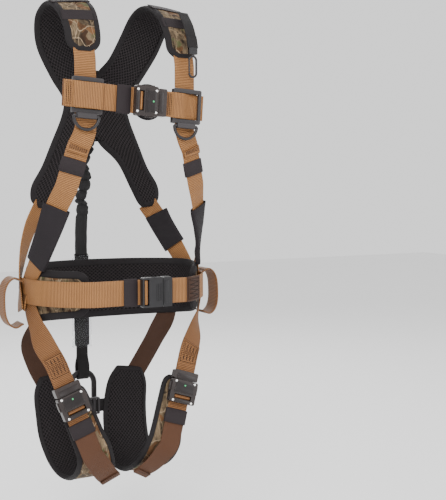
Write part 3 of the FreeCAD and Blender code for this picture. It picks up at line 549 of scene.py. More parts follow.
yoke, yoke_tape = finish_pad("yoke", yoke_mesh, YOKE_HALF_THICK, "harness")
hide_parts("yoke_pad")


# ---- Belt -----------------------------------------------------------------------------
# A wide padded belt behind the waist, made like the yoke, with narrower wings to the front.
# It is shaped over the hips, so its middle line dips a little at the back.
BELT_HALF_WIDTH = 0.157
BELT_HALF_DEPTH = 0.113
BELT_HEIGHT = 0.112
BELT_LEVEL = -0.508
BELT_DIP = 0.008
BELT_HALF_THICK = 0.0055
BELT_ROWS = 4
BELT_WIDTHS = (           # degrees from the spine, share of the full height
    (-147, 0.50), (-141, 0.68), (-125, 0.72), (-100, 0.82), (-70, 0.93), (-35, 0.98), (0, 1),
    (35, 0.98), (70, 0.93), (95, 0.86), (112, 0.74), (121, 0.68), (127, 0.50),
)


def round_torso(point):
    """Direction away from the torso."""
    return Vector((point.x / BELT_HALF_WIDTH ** 2, point.y / BELT_HALF_DEPTH ** 2, 0)).normalized()


def belt_point(degrees, lift=0.0, rise=0.0):
    """Point on the belt's middle surface, moved out by lift and up by rise."""
    turn = math.radians(degrees)
    flat = Vector((BELT_HALF_WIDTH * math.sin(turn), BELT_HALF_DEPTH * math.cos(turn), 0))
    level = BELT_LEVEL - BELT_DIP * math.cos(turn)
    return flat + round_torso(flat) * lift + Vector((0, 0, level + rise))


belt_mesh = bmesh.new()
belt_mesh.verts.layers.float_vector.new("lift")
belt_mesh.verts.layers.float_vector.new("where")
belt_low, belt_high = ([belt_point(turn, 0, edge * BELT_HEIGHT * share / 2)
                        for turn, share in BELT_WIDTHS] for edge in (-1, 1))
belt_low, belt_high = even_line(belt_low, BELT_ROWS), even_line(belt_high, BELT_ROWS)
belt_lifts = [round_torso((low + high) / 2) for low, high in zip(belt_low, belt_high)]
pad_grid(belt_mesh, belt_low, belt_high, belt_lifts, 14)
belt, belt_tape = finish_pad("belt", belt_mesh, BELT_HALF_THICK, "harness", 0.011)
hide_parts("belt_pad")


# ---- Pouch rows on the belt -----------------------------------------------------------
# Two rows of black webbing across the back of the belt, tacked down at even steps, so that
# a pouch's straps weave through them. An upright tan loop closes each end.
def strap_places(route, away, straight=(), step=0.006):
    """Places along a strap: middle, direction, sideways, outwards and distance run."""
    line = smooth_line(route, straight, step)
    run = distances(line)
    places = []
    for k, spot in enumerate(line):
        along = (line[min(k + 1, len(line) - 1)] - line[max(k - 1, 0)]).normalized()
        across = along.cross(away(spot)).normalized()
        places.append((spot, along, across, across.cross(along), run[k]))
    return places


def place_at(places, run):
    """Place on a strap at a distance from its start."""
    for before, after in zip(places, places[1:]):
        if run <= after[4]:
            break
    share = (run - before[4]) / (after[4] - before[4])
    return tuple(a.lerp(b, share) for a, b in zip(before[:4], after[:4])) + (run,)


def layer_places(places, start, end, lift, step=0.005):
    """Places of a second layer that lies on a strap from start to end."""
    count = max(2, round((end - start) / step))
    made = [place_at(places, start + (end - start) * k / count) for k in range(count + 1)]
    return [(spot + out * lift, along, across, out, run) for spot, along, across, out, run in made]


def webbing(name, places, width, cloth, body, thick=0.0022, hump=None):
    """Flat strap with rounded edges, extruded along its places."""
    half, rim = width / 2, thick / 2
    top = [(-half + rim * 0.25, rim * 0.65), (-half + rim, rim), (-half * 0.5, rim * 0.96),
           (0, rim * 0.94), (half * 0.5, rim * 0.96), (half - rim, rim),
           (half - rim * 0.25, rim * 0.65)]
    section = [(-half, 0)] + top + [(half, 0)] + [(a, -b) for a, b in reversed(top)]

    def woven_point(corner, place):
        spot, along, across, out, run = place
        rise = hump(run) if hump else 0
        return spot + across * corner[0] + out * (corner[1] + rise), corner[0], run

    mesh = bmesh.new()
    extruded(mesh, section, places, woven_point)
    return piece(name, mesh, [cloth], body)


def stitched(name, places, rows, lift, body, thread):
    """Lockstitch: short raised threads along rows of (across, along) points."""
    mesh = bmesh.new()
    for (left, start), (right, end) in rows:
        size = math.hypot(right - left, end - start)
        count = max(1, round(size / 0.0036))
        for k in range(count):
            share = (k + 0.5) / count
            spot, along, across, out, run = place_at(places, start + (end - start) * share)
            lengthwise = (across * (right - left) + along * (end - start)).normalized()
            sideways = out.cross(lengthwise)
            spot = spot + across * (left + (right - left) * share) + out * lift
            turned = Matrix((lengthwise * 0.0018, sideways * 0.00066, out * 0.00050)).transposed()
            bmesh.ops.create_icosphere(mesh, subdivisions=1, radius=1,
                                       matrix=Matrix.Translation(spot) @ turned.to_4x4())
    return piece(name, mesh, [thread], body)


def zigzag_box(width, start, end, turns):
    """Rows of a sewn box: its four sides and a zigzag between them."""
    half = width / 2
    rows = [((-half, start), (-half, end)), ((half, start), (half, end)),
            ((-half, start), (half, start)), ((-half, end), (half, end))]
    edge = half - 0.0025
    for k in range(turns):
        left, right = (-edge + 2 * edge * n / turns for n in (k, k + 1))
        low, high = start + 0.003, end - 0.003
        middle = (left + right) / 2
        rows += [((left, low), (middle, high)), ((middle, high), (right, low))]
    return rows


black_webbing = woven("black_webbing", (0.022, 0.019, 0.020), (0.006, 0.005, 0.005), 0.0016, 0.62)
tan_webbing = woven("tan_webbing", (0.46, 0.222, 0.076), (0.105, 0.040, 0.013), 0.0028, 0.5,
                     0.0009)
# The leg webbing is the tan webbing made darker: painted shade for the straps low on the harness.
shaded_leg_webbing = woven("shaded_leg_webbing", (0.33, 0.148, 0.052), (0.070, 0.027, 0.009), 0.0028, 0.52,
                     0.0009)
brown_webbing = woven("brown_webbing", (0.070, 0.028, 0.012), (0.022, 0.009, 0.005), 0.0020, 0.58)
dark_thread = woven("dark_thread", (0.028, 0.013, 0.007), (0.012, 0.006, 0.004), 0.0008, 0.6)
black_thread = woven("black_thread", (0.030, 0.027, 0.027), (0.01, 0.01, 0.01), 0.0008, 0.6)
ON_BELT = 0.0066
ROW_STEP = 0.033


def row_hump(run):
    """Each cell of a pouch row stands a little off the belt."""
    return 0.0016 * abs(math.sin(math.pi * run / ROW_STEP)) ** 0.5


for number, rise in enumerate((-0.020, 0.020)):
    route = [belt_point(turn, ON_BELT, rise) for turn in range(-48, 31, 13)]
    places = strap_places(route, round_torso, step=0.0035)
    row = webbing(f"pouch_row_{number + 1}", places, 0.024, black_webbing, "harness",
                  0.0018, row_hump)
    tacks = [((-0.0095, ROW_STEP * k), (0.0095, ROW_STEP * k))
             for k in range(1, int(places[-1][4] / ROW_STEP) + 1)]
    tacks += [((-0.0095, 0.002), (0.0095, 0.002)),
              ((-0.0095, places[-1][4] - 0.002), (0.0095, places[-1][4] - 0.002))]
    stitched(f"pouch_row_{number + 1}_tacks", places, tacks, 0.0011, "harness", black_thread)
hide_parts("belt_ladder")
for name, turn in (("left", 41), ("right", -61)):
    places = strap_places([belt_point(turn - 6, ON_BELT), belt_point(turn, ON_BELT),
                           belt_point(turn + 6, ON_BELT)], round_torso, step=0.003)
    webbing(f"belt_upright_{name}", places, 0.046, tan_webbing, "harness",
            hump=lambda run: 0.0018 * abs(math.sin(math.pi * run / 0.029)))
    inside = places[-1][4]
    stitched(f"belt_upright_{name}_tacks", places,
             zigzag_box(0.040, inside * 0.36, inside * 0.64, 4), 0.0028, "harness", dark_thread)
    label = strap_places([belt_point(turn + (8 if name == "left" else -20), ON_BELT),
                          belt_point(turn + (14 if name == "left" else -14), ON_BELT),
                          belt_point(turn + (20 if name == "left" else -8), ON_BELT)],
                         round_torso, step=0.004)
    webbing(f"belt_patch_{name}", label, 0.046, black_webbing, "harness", 0.0012)


# ---- Waist webbing --------------------------------------------------------------------
# Tan 44 mm webbing over the belt. The long right side is adjusted at the buckle's socket;
# the short left side is sewn round the plug and tacked down on itself.
WAIST_Y = -0.1215
WAIST_Z = -0.500
STRAP_RIGHT = [(-0.166, 0.030), (-0.169, -0.006), (-0.160, -0.046), (-0.140, -0.080),
               (-0.112, -0.106), (-0.078, WAIST_Y), (0.020, WAIST_Y)]
STRAP_LEFT = [(0.052, WAIST_Y), (0.084, WAIST_Y), (0.118, -0.102), (0.145, -0.074),
              (0.163, -0.038), (0.169, -0.004), (0.166, 0.030)]


def waist_point(point):
    return Vector((point[0], point[1], WAIST_Z))


waist_right_places = strap_places(map(waist_point, STRAP_RIGHT), round_torso, (5,))
waist_left_places = strap_places(map(waist_point, STRAP_LEFT), round_torso, (0,))
for name, places in (("right", waist_right_places), ("left", waist_left_places)):
    strap = webbing(f"waist_webbing_{name}", places, 0.044, tan_webbing, "harness")
    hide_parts(f"waist_strap_{name}")
patch_places = layer_places(waist_left_places, 0.036, 0.082, 0.0023)
webbing("waist_patch", patch_places, 0.0445, brown_webbing, "harness")
stitched("waist_patch_stitches", waist_left_places, zigzag_box(0.036, 0.040, 0.078, 4), 0.0037,
         "harness", dark_thread)
fold_places = layer_places(waist_left_places, 0.000, 0.036, 0.0022)
webbing("waist_turned_end", fold_places, 0.0435, tan_webbing, "harness", 0.0019)


# ---- Shoulder and back webbing --------------------------------------------------------
# Tan 38 mm webbing down the chest on both sides and from the yoke's lobes down the back;
# the two meet at the hip. Black sleeves cover the straps below the chest and on the back.
STRAP_X = 0.092
STRAP_Y = -0.110
LIMB_WIDTH = 0.038
SHOULDER_ROUTE = (
    (STRAP_X, STRAP_Y + 0.010, -0.066), (STRAP_X, STRAP_Y + 0.005, -0.088),
    (STRAP_X, STRAP_Y, -0.110), (STRAP_X, STRAP_Y, -0.216),
    (STRAP_X + 0.005, STRAP_Y + 0.001, -0.236), (STRAP_X + 0.013, STRAP_Y + 0.004, -0.254),
    (STRAP_X + 0.029, STRAP_Y + 0.013, -0.314), (0.134, -0.080, -0.352),
    (0.146, -0.060, -0.402), (0.157, -0.032, -0.452), (0.168, 0, -0.500), (0.171, 0.006, -0.532),
)
STRAIGHT_RUNS = (2, 5)
BACK_SLEEVE = ((0.123, 0.0795, -0.370), (0.134, 0.074, -0.394), (0.152, 0.056, -0.434))
BACK_ROUTE = ((0.107, 0.0868, -0.351), (0.116, 0.0838, -0.365), (0.134, 0.074, -0.394),
              (0.152, 0.056, -0.434), (0.166, 0.032, -0.476), (0.173, 0.012, -0.516),
              (0.174, 0.006, -0.536))


def chest_away(point):
    """Straight forward on the chest, then turning round the torso below it."""
    turned = (min(max((-0.216 - point.z) / 0.038, 0), 1)
              + min(max((-0.314 - point.z) / 0.088, 0), 1)) / 2
    return round_torso(point) * turned + Vector((0, -1, 0)) * (1 - turned)


def sleeve_on(name, places, width, thick, cloth, body, flare=0.0):
    """Open tube of cloth round a strap, with creases and a hem at both ends."""
    half, high = width / 2, thick / 2
    section = []
    for k in range(24):
        turn = 2 * math.pi * (k + 0.5) / 24
        x, y = math.cos(turn), math.sin(turn)
        section.append((half * math.copysign(abs(x) ** 0.35, x),
                        high * math.copysign(abs(y) ** 0.6, y)))
    whole = places[-1][4] - places[0][4]

    def sleeve_place(corner, place):
        spot, along, across, out, run = place
        share = (run - places[0][4]) / whole
        wide = 1 + flare * (2 * share - 1) ** 2
        crease = noise.noise(spot * 46 + out * 3 + across * corner[0] * 60) * 0.0013
        hem = 0.0006 if min(share, 1 - share) * whole < 0.007 else 0.0
        rise = math.copysign(crease + hem, corner[1]) if abs(corner[1]) > high * 0.5 else 0
        return (spot + across * corner[0] * wide + out * (corner[1] + rise),
                corner[0] + corner[1], run)

    mesh = bmesh.new()
    extruded(mesh, section, places, sleeve_place, capped=False)
    tube = piece(name, mesh, [cloth], body)
    wall = tube.modifiers.new("wall", "SOLIDIFY")
    wall.thickness = 0.0011
    wall.offset = -1
    return rounder(tube)


def keeper_band(name, spot, along, across, out, width, length, body, node):
    """Elastic band sewn into a loop round the webbing: it hugs both layers."""
    half, high, wall = width / 2 + 0.0016, 0.0028, 0.0014
    loop = []
    for k in range(40):
        turn = 2 * math.pi * (k + 0.5) / 40
        x, y = math.cos(turn), math.sin(turn)
        loop.append((half * math.copysign(abs(x) ** 0.22, x),
                     high * math.copysign(abs(y) ** 0.55, y)))
    loop_points = [spot + across * x + out * y for x, y in loop]
    run = distances(loop_points)

    def band_point(corner, number):
        ahead = (loop_points[(number + 1) % 40] - loop_points[number - 1]).normalized()
        outside = ahead.cross(along)
        pinch = 1 - 0.03 * math.cos(2 * math.pi * number / 40) ** 2
        return (loop_points[number] + along * corner[0] * pinch + outside * corner[1],
                corner[0], run[number])

    rim = wall / 2
    edge = length / 2
    section = [(-edge, 0), (-edge + rim, rim), (-edge / 2, rim), (0, rim), (edge / 2, rim),
               (edge - rim, rim), (edge, 0), (edge - rim, -rim), (0, -rim), (-edge + rim, -rim)]
    mesh = bmesh.new()
    extruded(mesh, section, list(range(40)), band_point, closed=True)
    band = piece(name, mesh, [elastic_cloth], body)
    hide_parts(node)
    return band


elastic_cloth = woven("elastic_band", (0.030, 0.022, 0.024), (0.009, 0.006, 0.007), 0.0012, 0.68,
                      0.0003)
cover_cloth = woven("cover_cloth", (0.019, 0.015, 0.018), (0.008, 0.006, 0.007), 0.0007, 0.74,
                    0.0002)
shoulder_places, cover_pieces = {}, []
for name, side in (("right", -1), ("left", 1)):
    route = [mirrored(side, point) for point in SHOULDER_ROUTE]
    places = strap_places(route, chest_away, STRAIGHT_RUNS)
    shoulder_places[name] = places
    strap = webbing(f"shoulder_webbing_{name}", places, LIMB_WIDTH, tan_webbing, "harness")
    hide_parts(f"shoulder_strap_{name}")
    below_slider = next(place[4] for place in places if place[0].z < -0.219)
    fold = next(place[4] for place in places if place[0].z < -0.2560)
    tail = layer_places(places, below_slider, fold, 0.0024)
    webbing(f"shoulder_tail_{name}", tail, LIMB_WIDTH - 0.0008, tan_webbing, "harness")
    ends = layer_places(places, fold - 0.011, fold + 0.002, 0.0048, 0.0016)
    webbing(f"shoulder_tail_end_{name}", ends, LIMB_WIDTH - 0.0012, tan_webbing, "harness",
            0.0024,
            hump=lambda run, end=fold + 0.002: -0.0012 * max(0, 1 - (end - run) / 0.003) ** 2)
    stitched(f"shoulder_tail_stitches_{name}", places,
             [((-0.016, fold - 0.009), (0.016, fold - 0.009)),
              ((-0.016, fold - 0.0065), (0.016, fold - 0.0065)),
              ((-0.016, fold - 0.004), (0.016, fold - 0.004))], 0.0062, "harness", dark_thread)
    hip = places[-1][4]
    stitched(f"hip_stitches_{name}", places, zigzag_box(0.030, hip - 0.052, hip - 0.012, 4),
             0.0013, "harness", dark_thread)
    low = [mirrored(side, point) for point in SHOULDER_ROUTE[5:7]]
    up = (low[0] - low[1]).normalized()
    middle = (low[0] + low[1]) / 2
    sideways = up.cross(chest_away(middle)).normalized()
    keeper_band(f"shoulder_elastic_{name}", middle, up, sideways, sideways.cross(up), LIMB_WIDTH,
                0.026, f"shoulder_keeper_{name}", f"shoulder_keeper_{name}")
    cover_route = [mirrored(side, point) for point in SHOULDER_ROUTE[7:10]]
    cover_pieces.append(sleeve_on(f"shoulder_cover_{name}", strap_places(cover_route, chest_away),
                                  0.0465, 0.0088, cover_cloth, "harness", 0.04))
    route = [mirrored(side, point) for point in BACK_ROUTE]
    places = strap_places(route, round_torso)
    strap = webbing(f"back_webbing_{name}", places, LIMB_WIDTH, tan_webbing, "harness")
    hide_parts(f"back_strap_{name}")
    stitched(f"back_stitches_{name}", places, zigzag_box(0.030, 0.125, 0.170, 4), 0.0013,
             "harness", dark_thread)
back_cover = sleeve_on("back_cover", strap_places(map(Vector, BACK_SLEEVE), round_torso),
                       0.0465, 0.0088, cover_cloth, "harness", 0.04)
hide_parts("strap_covers")


# ---- Chest strap ----------------------------------------------------------------------
# Two steel sliders ride on the shoulder straps and carry 44 mm tan webbing. Its right end
# is folded and sewn; its left end goes through the buckle's tongue and the left slider.
CHEST_TILT = math.radians(3.5)
CHEST_LEVEL = -0.172
CHEST_FRAME = (Matrix.Translation((0, STRAP_Y - 0.0132, CHEST_LEVEL))
               @ Matrix.Rotation(CHEST_TILT, 4, "Y"))
CHEST_OUT = Vector((0, -1, 0))
BEHIND_BAR = 0.0088


def chest_point(x, y, z=0.0):
    return CHEST_FRAME @ Vector((x, y, z))


chest_right = strap_places([chest_point(-0.137, 0), chest_point(0.019, 0)],
                           lambda point: CHEST_OUT, (0,), 0.004)


def chest_wave(run):
    """The long end of the chest webbing bows a little between the slider and the keeper."""
    return 0.0012 * math.sin((run - 0.045) / 0.075 * 2 * math.pi) if 0.045 < run < 0.12 else 0


strap = webbing("chest_webbing_right", chest_right, 0.044, tan_webbing, "chest_rig",
                hump=chest_wave)
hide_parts("chest_strap_right")
front_layer = layer_places(chest_right, 0.0015, 0.071, 0.0024)
webbing("chest_webbing_second_layer", front_layer, 0.0435, tan_webbing, "chest_rig",
        hump=lambda run: chest_wave(run))
end_layer = layer_places(chest_right, 0.000, 0.016, 0.0047, 0.002)
webbing("chest_webbing_folded_end", end_layer, 0.043, tan_webbing, "chest_rig",
        0.0024)
stitched("chest_end_stitches", chest_right,
         [((-0.019, run), (0.019, run)) for run in (0.005, 0.0085, 0.012)], 0.0061, "chest_rig",
         dark_thread)
chest_left_route = [chest_point(0.0395, 0), chest_point(0.078, 0), chest_point(0.086, 0.0022),
                    chest_point(0.094, 0.0066), chest_point(0.102, BEHIND_BAR),
                    chest_point(0.126, BEHIND_BAR)]
chest_left = strap_places(chest_left_route, lambda point: CHEST_OUT, (0, 4), 0.003)
strap = webbing("chest_webbing_left", chest_left, 0.044, tan_webbing, "chest_rig")
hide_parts("chest_strap_left")
webbing("chest_left_turned_end", layer_places(chest_left, 0.0, 0.022, 0.0023, 0.002), 0.0435,
        tan_webbing, "chest_rig", 0.0021)
stitched("chest_left_stitches", chest_left,
         [((-0.019, run), (0.019, run)) for run in (0.013, 0.016, 0.019)], 0.0036, "chest_rig",
         dark_thread)


# ---- Quick buckles --------------------------------------------------------------------
# Aluminium buckles with a dark anodised finish: a receiver with two release levers and a
# tongue. Bright rivets hold the plates; webbing turns round a bar in each half.
def metal(name, colour, roughness, edge, metallic=1.0):
    """Coated metal with fine scratches, and brighter where its edges are rubbed."""
    coated = finish(name, colour, roughness, Metallic=metallic, Specular_IOR_Level=0.32)
    place = add(coated, "TexCoord", out="Object")
    cloudy = add(coated, "TexNoise", {"Vector": place, "Scale": 90.0, "Detail": 4.0}, out="Fac")
    fine = add(coated, "TexNoise", {"Vector": place, "Scale": 1400.0, "Detail": 2.0}, out="Fac")
    scratch = add(coated, "Mapping", {"Vector": place, "Rotation": (0.4, 0.7, 0.3),
                                      "Scale": (1800, 60, 60)})
    scratch = add(coated, "TexNoise", {"Vector": scratch, "Scale": 1.0, "Detail": 2.0}, out="Fac")
    rubbed = add(coated, "NewGeometry", out="Pointiness")
    rubbed = add(coated, "MapRange", {"Value": rubbed, "From Min": 0.52, "From Max": 0.60,
                                      "To Max": 0.7})
    worn = add(coated, "MapRange", {"Value": scratch, "From Min": 0.66, "From Max": 0.72,
                                    "To Max": 0.25})
    both = add(coated, "Math", {0: rubbed, 1: worn}, operation="ADD", use_clamp=True)
    shades = tuple(min(1.0, value * 1.35) for value in colour)
    base = blended(coated, cloudy, colour, shades)
    colours = add(coated, "MixRGB", {"Fac": both, "Color1": base, "Color2": (*edge, 1)})
    uneven = add(coated, "MapRange", {"Value": cloudy, "To Min": roughness - 0.08,
                                      "To Max": roughness + 0.12})
    return apply_look(coated, colours, fine, 0.00008, 0.35, uneven)


anodised = metal("anodised_metal", (0.010, 0.0075, 0.0075), 0.22, (0.036, 0.028, 0.026), 0.05)
coated_steel = metal("coated_steel", (0.014, 0.012, 0.013), 0.40, (0.036, 0.032, 0.034), 0.0)
bright_rivet = metal("bright_rivet", (0.72, 0.71, 0.69), 0.22, (0.9, 0.9, 0.88))
lock_dot = metal("lock_dot", (0.03, 0.34, 0.12), 0.4, (0.1, 0.5, 0.2), 0.0)


def painted(node, material):
    """Give a CAD node the finish of its real metal or plastic."""
    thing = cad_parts[node]
    thing.data.materials.clear()
    thing.data.materials.append(material)


LEG_SHIFT = -0.013
BUCKLE_POINT = (0.105, -0.0936, -0.684)
DOWN = Vector((-0.316, -0.174, -0.933)).normalized()
LEG_FRONT = Vector((0, -0.984, 0.183)).normalized()


def leg_point(side, x, y, z):
    """Point on a leg loop; the shift to the right grows from the hip down."""
    share = min(max((-z - 0.540) / 0.080, 0), 1)
    return Vector((side * x + LEG_SHIFT * share, y, z))


def strap_line(side, rise):
    """Point on the straight part of the front leg strap, above the buckle's middle."""
    return leg_point(side, *BUCKLE_POINT) - mirrored(side, DOWN) * rise


def leg_buckle_frame(side):
    """X across the webbing, Y towards the thigh and Z up along the strap."""
    up, inward = -mirrored(side, DOWN), -LEG_FRONT
    across = inward.cross(up).normalized()
    inward = up.cross(across)
    turn = Matrix((across, inward, up)).transposed().to_4x4()
    return Matrix.Translation(leg_point(side, *BUCKLE_POINT)) @ turn


BUCKLE_FRONT = -0.0136
BUCKLE_BACK = -0.0016
BUCKLE_WIDTH = 0.051
RECEIVER_LOW = -0.027


def rounded_plate(mesh, spans, centre, matrix, bevel, waist=0.0):
    """Plate with bevelled edges; waist pulls its long sides in at the middle."""
    made = bmesh.ops.create_cube(mesh, size=1.0)["verts"]
    bmesh.ops.scale(mesh, vec=spans, verts=made)
    if waist:
        sides = [e for e in mesh.edges if e.verts[0] in made and e.verts[1] in made
                 and abs((e.verts[0].co - e.verts[1].co).z) > spans[2] * 0.9]
        cut = bmesh.ops.subdivide_edges(mesh, edges=sides, cuts=3, use_grid_fill=True)["geom"]
        for vert in {v for v in cut if isinstance(v, bmesh.types.BMVert)}:
            vert.co.x *= 1 - waist * (1 - (2 * vert.co.z / spans[2]) ** 2)
        made = list({vert for vert in mesh.verts if vert in made or vert in cut})
    faces = {face for vert in made for face in vert.link_faces}
    sharp = [edge for edge in {e for f in faces for e in f.edges}
             if edge.is_manifold and edge.calc_face_angle() > 0.9]
    bent = bmesh.ops.bevel(mesh, geom=sharp, offset=bevel, segments=3, profile=0.5,
                           affect="EDGES", material=-1)
    verts = {v for f in faces if f.is_valid for v in f.verts} | set(bent["verts"])
    bmesh.ops.transform(mesh, matrix=matrix @ Matrix.Translation(centre), verts=list(verts))


def domed(mesh, radius, height, matrix):
    """Low dome for a rivet head: a flattened sphere."""
    made = bmesh.ops.create_uvsphere(mesh, u_segments=16, v_segments=8, radius=radius)["verts"]
    bmesh.ops.scale(mesh, vec=(1, height / radius, 1), verts=made)
    bmesh.ops.transform(mesh, matrix=matrix, verts=made)


def buckle_bar(name, matrix, low, high, width, cloth, body, rise=0.0115):
    """Webbing that comes up through a window and turns round the bar in it."""
    route = [matrix @ Vector((0, y, z)) for y, z in
             ((BUCKLE_BACK - 0.001, low - 0.0012), (-rise * 0.75, low + 0.0006),
              (-rise, (low + high) / 2), (-rise * 0.75, high - 0.0006),
              (BUCKLE_BACK - 0.001, high + 0.0012))]
    facing = matrix.to_3x3() @ Vector((0, -1, 0))
    centre = matrix @ Vector((0, 0.004, (low + high) / 2))
    places = strap_places(route, lambda point: point - centre, step=0.0016)
    return webbing(name, places, width, cloth, body, 0.0018)


def quick_buckle_trim(prefix, suffix, matrix, receiver, tongue, bar_cloth):
    """Face plates, rivets and the lock sign on one buckle."""
    for node in ("receiver", "tongue", "latch_a", "latch_b"):
        painted(f"{prefix}_{node}{suffix}", anodised)
    plate = bmesh.new()
    rounded_plate(plate, (0.040, 0.0016, 0.0195), (0, BUCKLE_FRONT - 0.0004, 0.0010), matrix,
                  0.0006, 0.16)
    rounded_plate(plate, (0.044, 0.0022, 0.0050), (0, BUCKLE_FRONT + 0.0002, -0.0237), matrix,
                  0.0008)
    piece(f"{prefix}_face_plate{suffix}", plate, [anodised], receiver)
    rivets = bmesh.new()
    for x in (-0.0185, 0.0185):
        for z in (0.0105, -0.0238):
            domed(rivets, 0.0024, 0.0013, matrix @ Matrix.Translation((x, BUCKLE_FRONT - 0.0004,
                                                                       z)))
    piece(f"{prefix}_rivets{suffix}", rivets, [bright_rivet], receiver)
    dot = bmesh.new()
    domed(dot, 0.0016, 0.0007, matrix @ Matrix.Translation((0, BUCKLE_FRONT - 0.0012, 0.0050)))
    piece(f"{prefix}_lock_dot{suffix}", dot, [lock_dot], receiver)
    head = bmesh.new()
    rounded_plate(head, (0.036, 0.0018, 0.0085), (0, BUCKLE_FRONT + 0.0018, 0.0205), matrix, 0.0006)
    piece(f"{prefix}_head_plate{suffix}", head, [anodised], tongue)
    buckle_bar(f"{prefix}_bar_webbing{suffix}", matrix, -0.0192, -0.0128, 0.031, bar_cloth,
               receiver)


CHEST_BUCKLE = (CHEST_FRAME @ Matrix.Translation((0.015, 0, 0))
                @ Matrix.Rotation(math.radians(90), 4, "Y"))
quick_buckle_trim("chest", "", CHEST_BUCKLE, "chest_receiver", "chest_rig", tan_webbing)
chest_along = CHEST_BUCKLE.to_3x3() @ Vector((0, 0, 1))
keeper_band("chest_elastic", CHEST_BUCKLE @ Vector((0, 0, -0.045)), chest_along,
            CHEST_BUCKLE.to_3x3() @ Vector((1, 0, 0)), CHEST_OUT, 0.044, 0.026, "chest_keeper",
            "chest_keeper")
oval = bmesh.new()
OVAL_CENTRE = CHEST_BUCKLE @ Matrix.Translation((0, 0.0011 + 0.004, 0.002))
made = bmesh.ops.create_uvsphere(oval, u_segments=48, v_segments=16, radius=1.0)["verts"]
bmesh.ops.scale(oval, vec=(0.031, 0.0021, 0.031), verts=made)
bmesh.ops.transform(oval, matrix=OVAL_CENTRE, verts=made)
oval_pad = piece("chest_buckle_backing", oval, [cover_cloth], "chest_rig")
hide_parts("chest_buckle_pad")
for name in ("right", "left"):
    painted(f"slider_{name}", coated_steel)
    painted(f"d_ring_{name}", coated_steel)


# ---- Leg straps -----------------------------------------------------------------------
# Each front strap comes down from the hip to a quick buckle; the adjustable lower strap
# ends in a hemmed brown tail. A dark brown strap goes up behind the thigh to the hip.
LEG_STRAP_SPLIT = -0.058


def leg_away(point):
    """Round the torso at the hip, to the front on the thigh, turning under at the end."""
    thigh = min(max((-point.z - 0.560) / 0.050, 0), 1)
    under = min(max((-point.z - 0.778) / 0.050, 0), 1)
    front = LEG_FRONT * (1 - under) + Vector((0, -0.85, -0.55)) * under
    return round_torso(point) * (1 - thigh) + front * thigh


def behind_point(point):
    return Vector((0, 1, 0))


def rear_away(point):
    """Flat in the belt at the hip, turning to the back on its way down."""
    turned = min(max((-point.z - 0.566) / 0.050, 0), 1)
    return round_torso(point) * (1 - turned) + Vector((0.1, 1, 0)) * turned


tail_brown = woven("tail_brown", (0.105, 0.042, 0.018), (0.050, 0.020, 0.009), 0.0016, 0.58)
for name, side in (("right", -1), ("left", 1)):
    hip = [leg_point(side, *p) for p in ((0.166, -0.006, -0.498), (0.163, -0.026, -0.540),
                                         (0.146, -0.058, -0.586))]
    upper = strap_places(hip + [strap_line(side, 0.061), strap_line(side, 0.024)], leg_away, (3,))
    strap = webbing(f"leg_upper_webbing_{name}", upper, LIMB_WIDTH, shaded_leg_webbing, "harness")
    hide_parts(f"leg_strap_upper_{name}")
    whole = upper[-1][4]
    layer = layer_places(upper, whole - 0.062, whole - 0.001, 0.0023)
    webbing(f"leg_turned_webbing_{name}", layer, LIMB_WIDTH - 0.0008, shaded_leg_webbing, "harness")
    stitched(f"leg_upper_stitches_{name}", upper,
             zigzag_box(0.031, whole - 0.058, whole - 0.024, 4), 0.0036, "harness", dark_thread)
    light = strap_places([strap_line(side, 0.004), strap_line(side, LEG_STRAP_SPLIT)], leg_away,
                         (0,), 0.005)
    strap = webbing(f"leg_lower_webbing_{name}", light, LIMB_WIDTH, shaded_leg_webbing, "harness")
    tail = [leg_point(side, *p) for p in ((0.060, -0.106, -0.797), (0.044, -0.095, -0.818),
                                          (0.028, -0.079, -0.834))]
    dark = strap_places([strap_line(side, LEG_STRAP_SPLIT), strap_line(side, -0.098)] + tail,
                        leg_away, (0,), 0.004)
    lower = webbing(f"leg_tail_{name}", dark, LIMB_WIDTH, tail_brown, "harness")
    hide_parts(f"leg_strap_lower_{name}")
    end = dark[-1][4]
    webbing(f"leg_tail_hem_{name}", layer_places(dark, end - 0.011, end + 0.0006, 0.0024, 0.002),
            LIMB_WIDTH - 0.001, tail_brown, "harness", 0.0026)
    stitched(f"leg_tail_stitches_{name}", dark, [((-0.017, end - 0.008), (0.017, end - 0.008))],
             0.0037, "harness", dark_thread)
    matrix = leg_buckle_frame(side)
    quick_buckle_trim("leg", f"_{name}", matrix, f"leg_receiver_{name}", "harness", shaded_leg_webbing)
    axes = matrix.to_3x3()
    keeper_band(f"leg_elastic_{name}", matrix @ Vector((0, 0, -0.051)),
                axes @ Vector((0, 0, 1)), axes @ Vector((1, 0, 0)), axes @ Vector((0, -1, 0)),
                LIMB_WIDTH, 0.026, f"leg_keeper_{name}", f"leg_keeper_{name}")
    in_belt = [mirrored(side, p) for p in ((0.136, 0.0565, -0.532), (0.135, 0.0575, -0.566))]
    rear = strap_places(in_belt + [leg_point(side, *p) for p in (
        (0.128, 0.065, -0.606), (0.110, 0.078, -0.650), (0.092, 0.086, -0.684))], rear_away)
    strap = webbing(f"leg_rear_webbing_{name}", rear, LIMB_WIDTH, brown_webbing, "harness")
    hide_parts(f"leg_strap_rear_{name}")
    stitched(f"leg_rear_stitches_{name}", rear, [((-0.017, 0.110), (0.017, 0.110)),
                                                  ((-0.017, 0.135), (0.017, 0.135))], 0.0013,
             "harness", dark_thread)


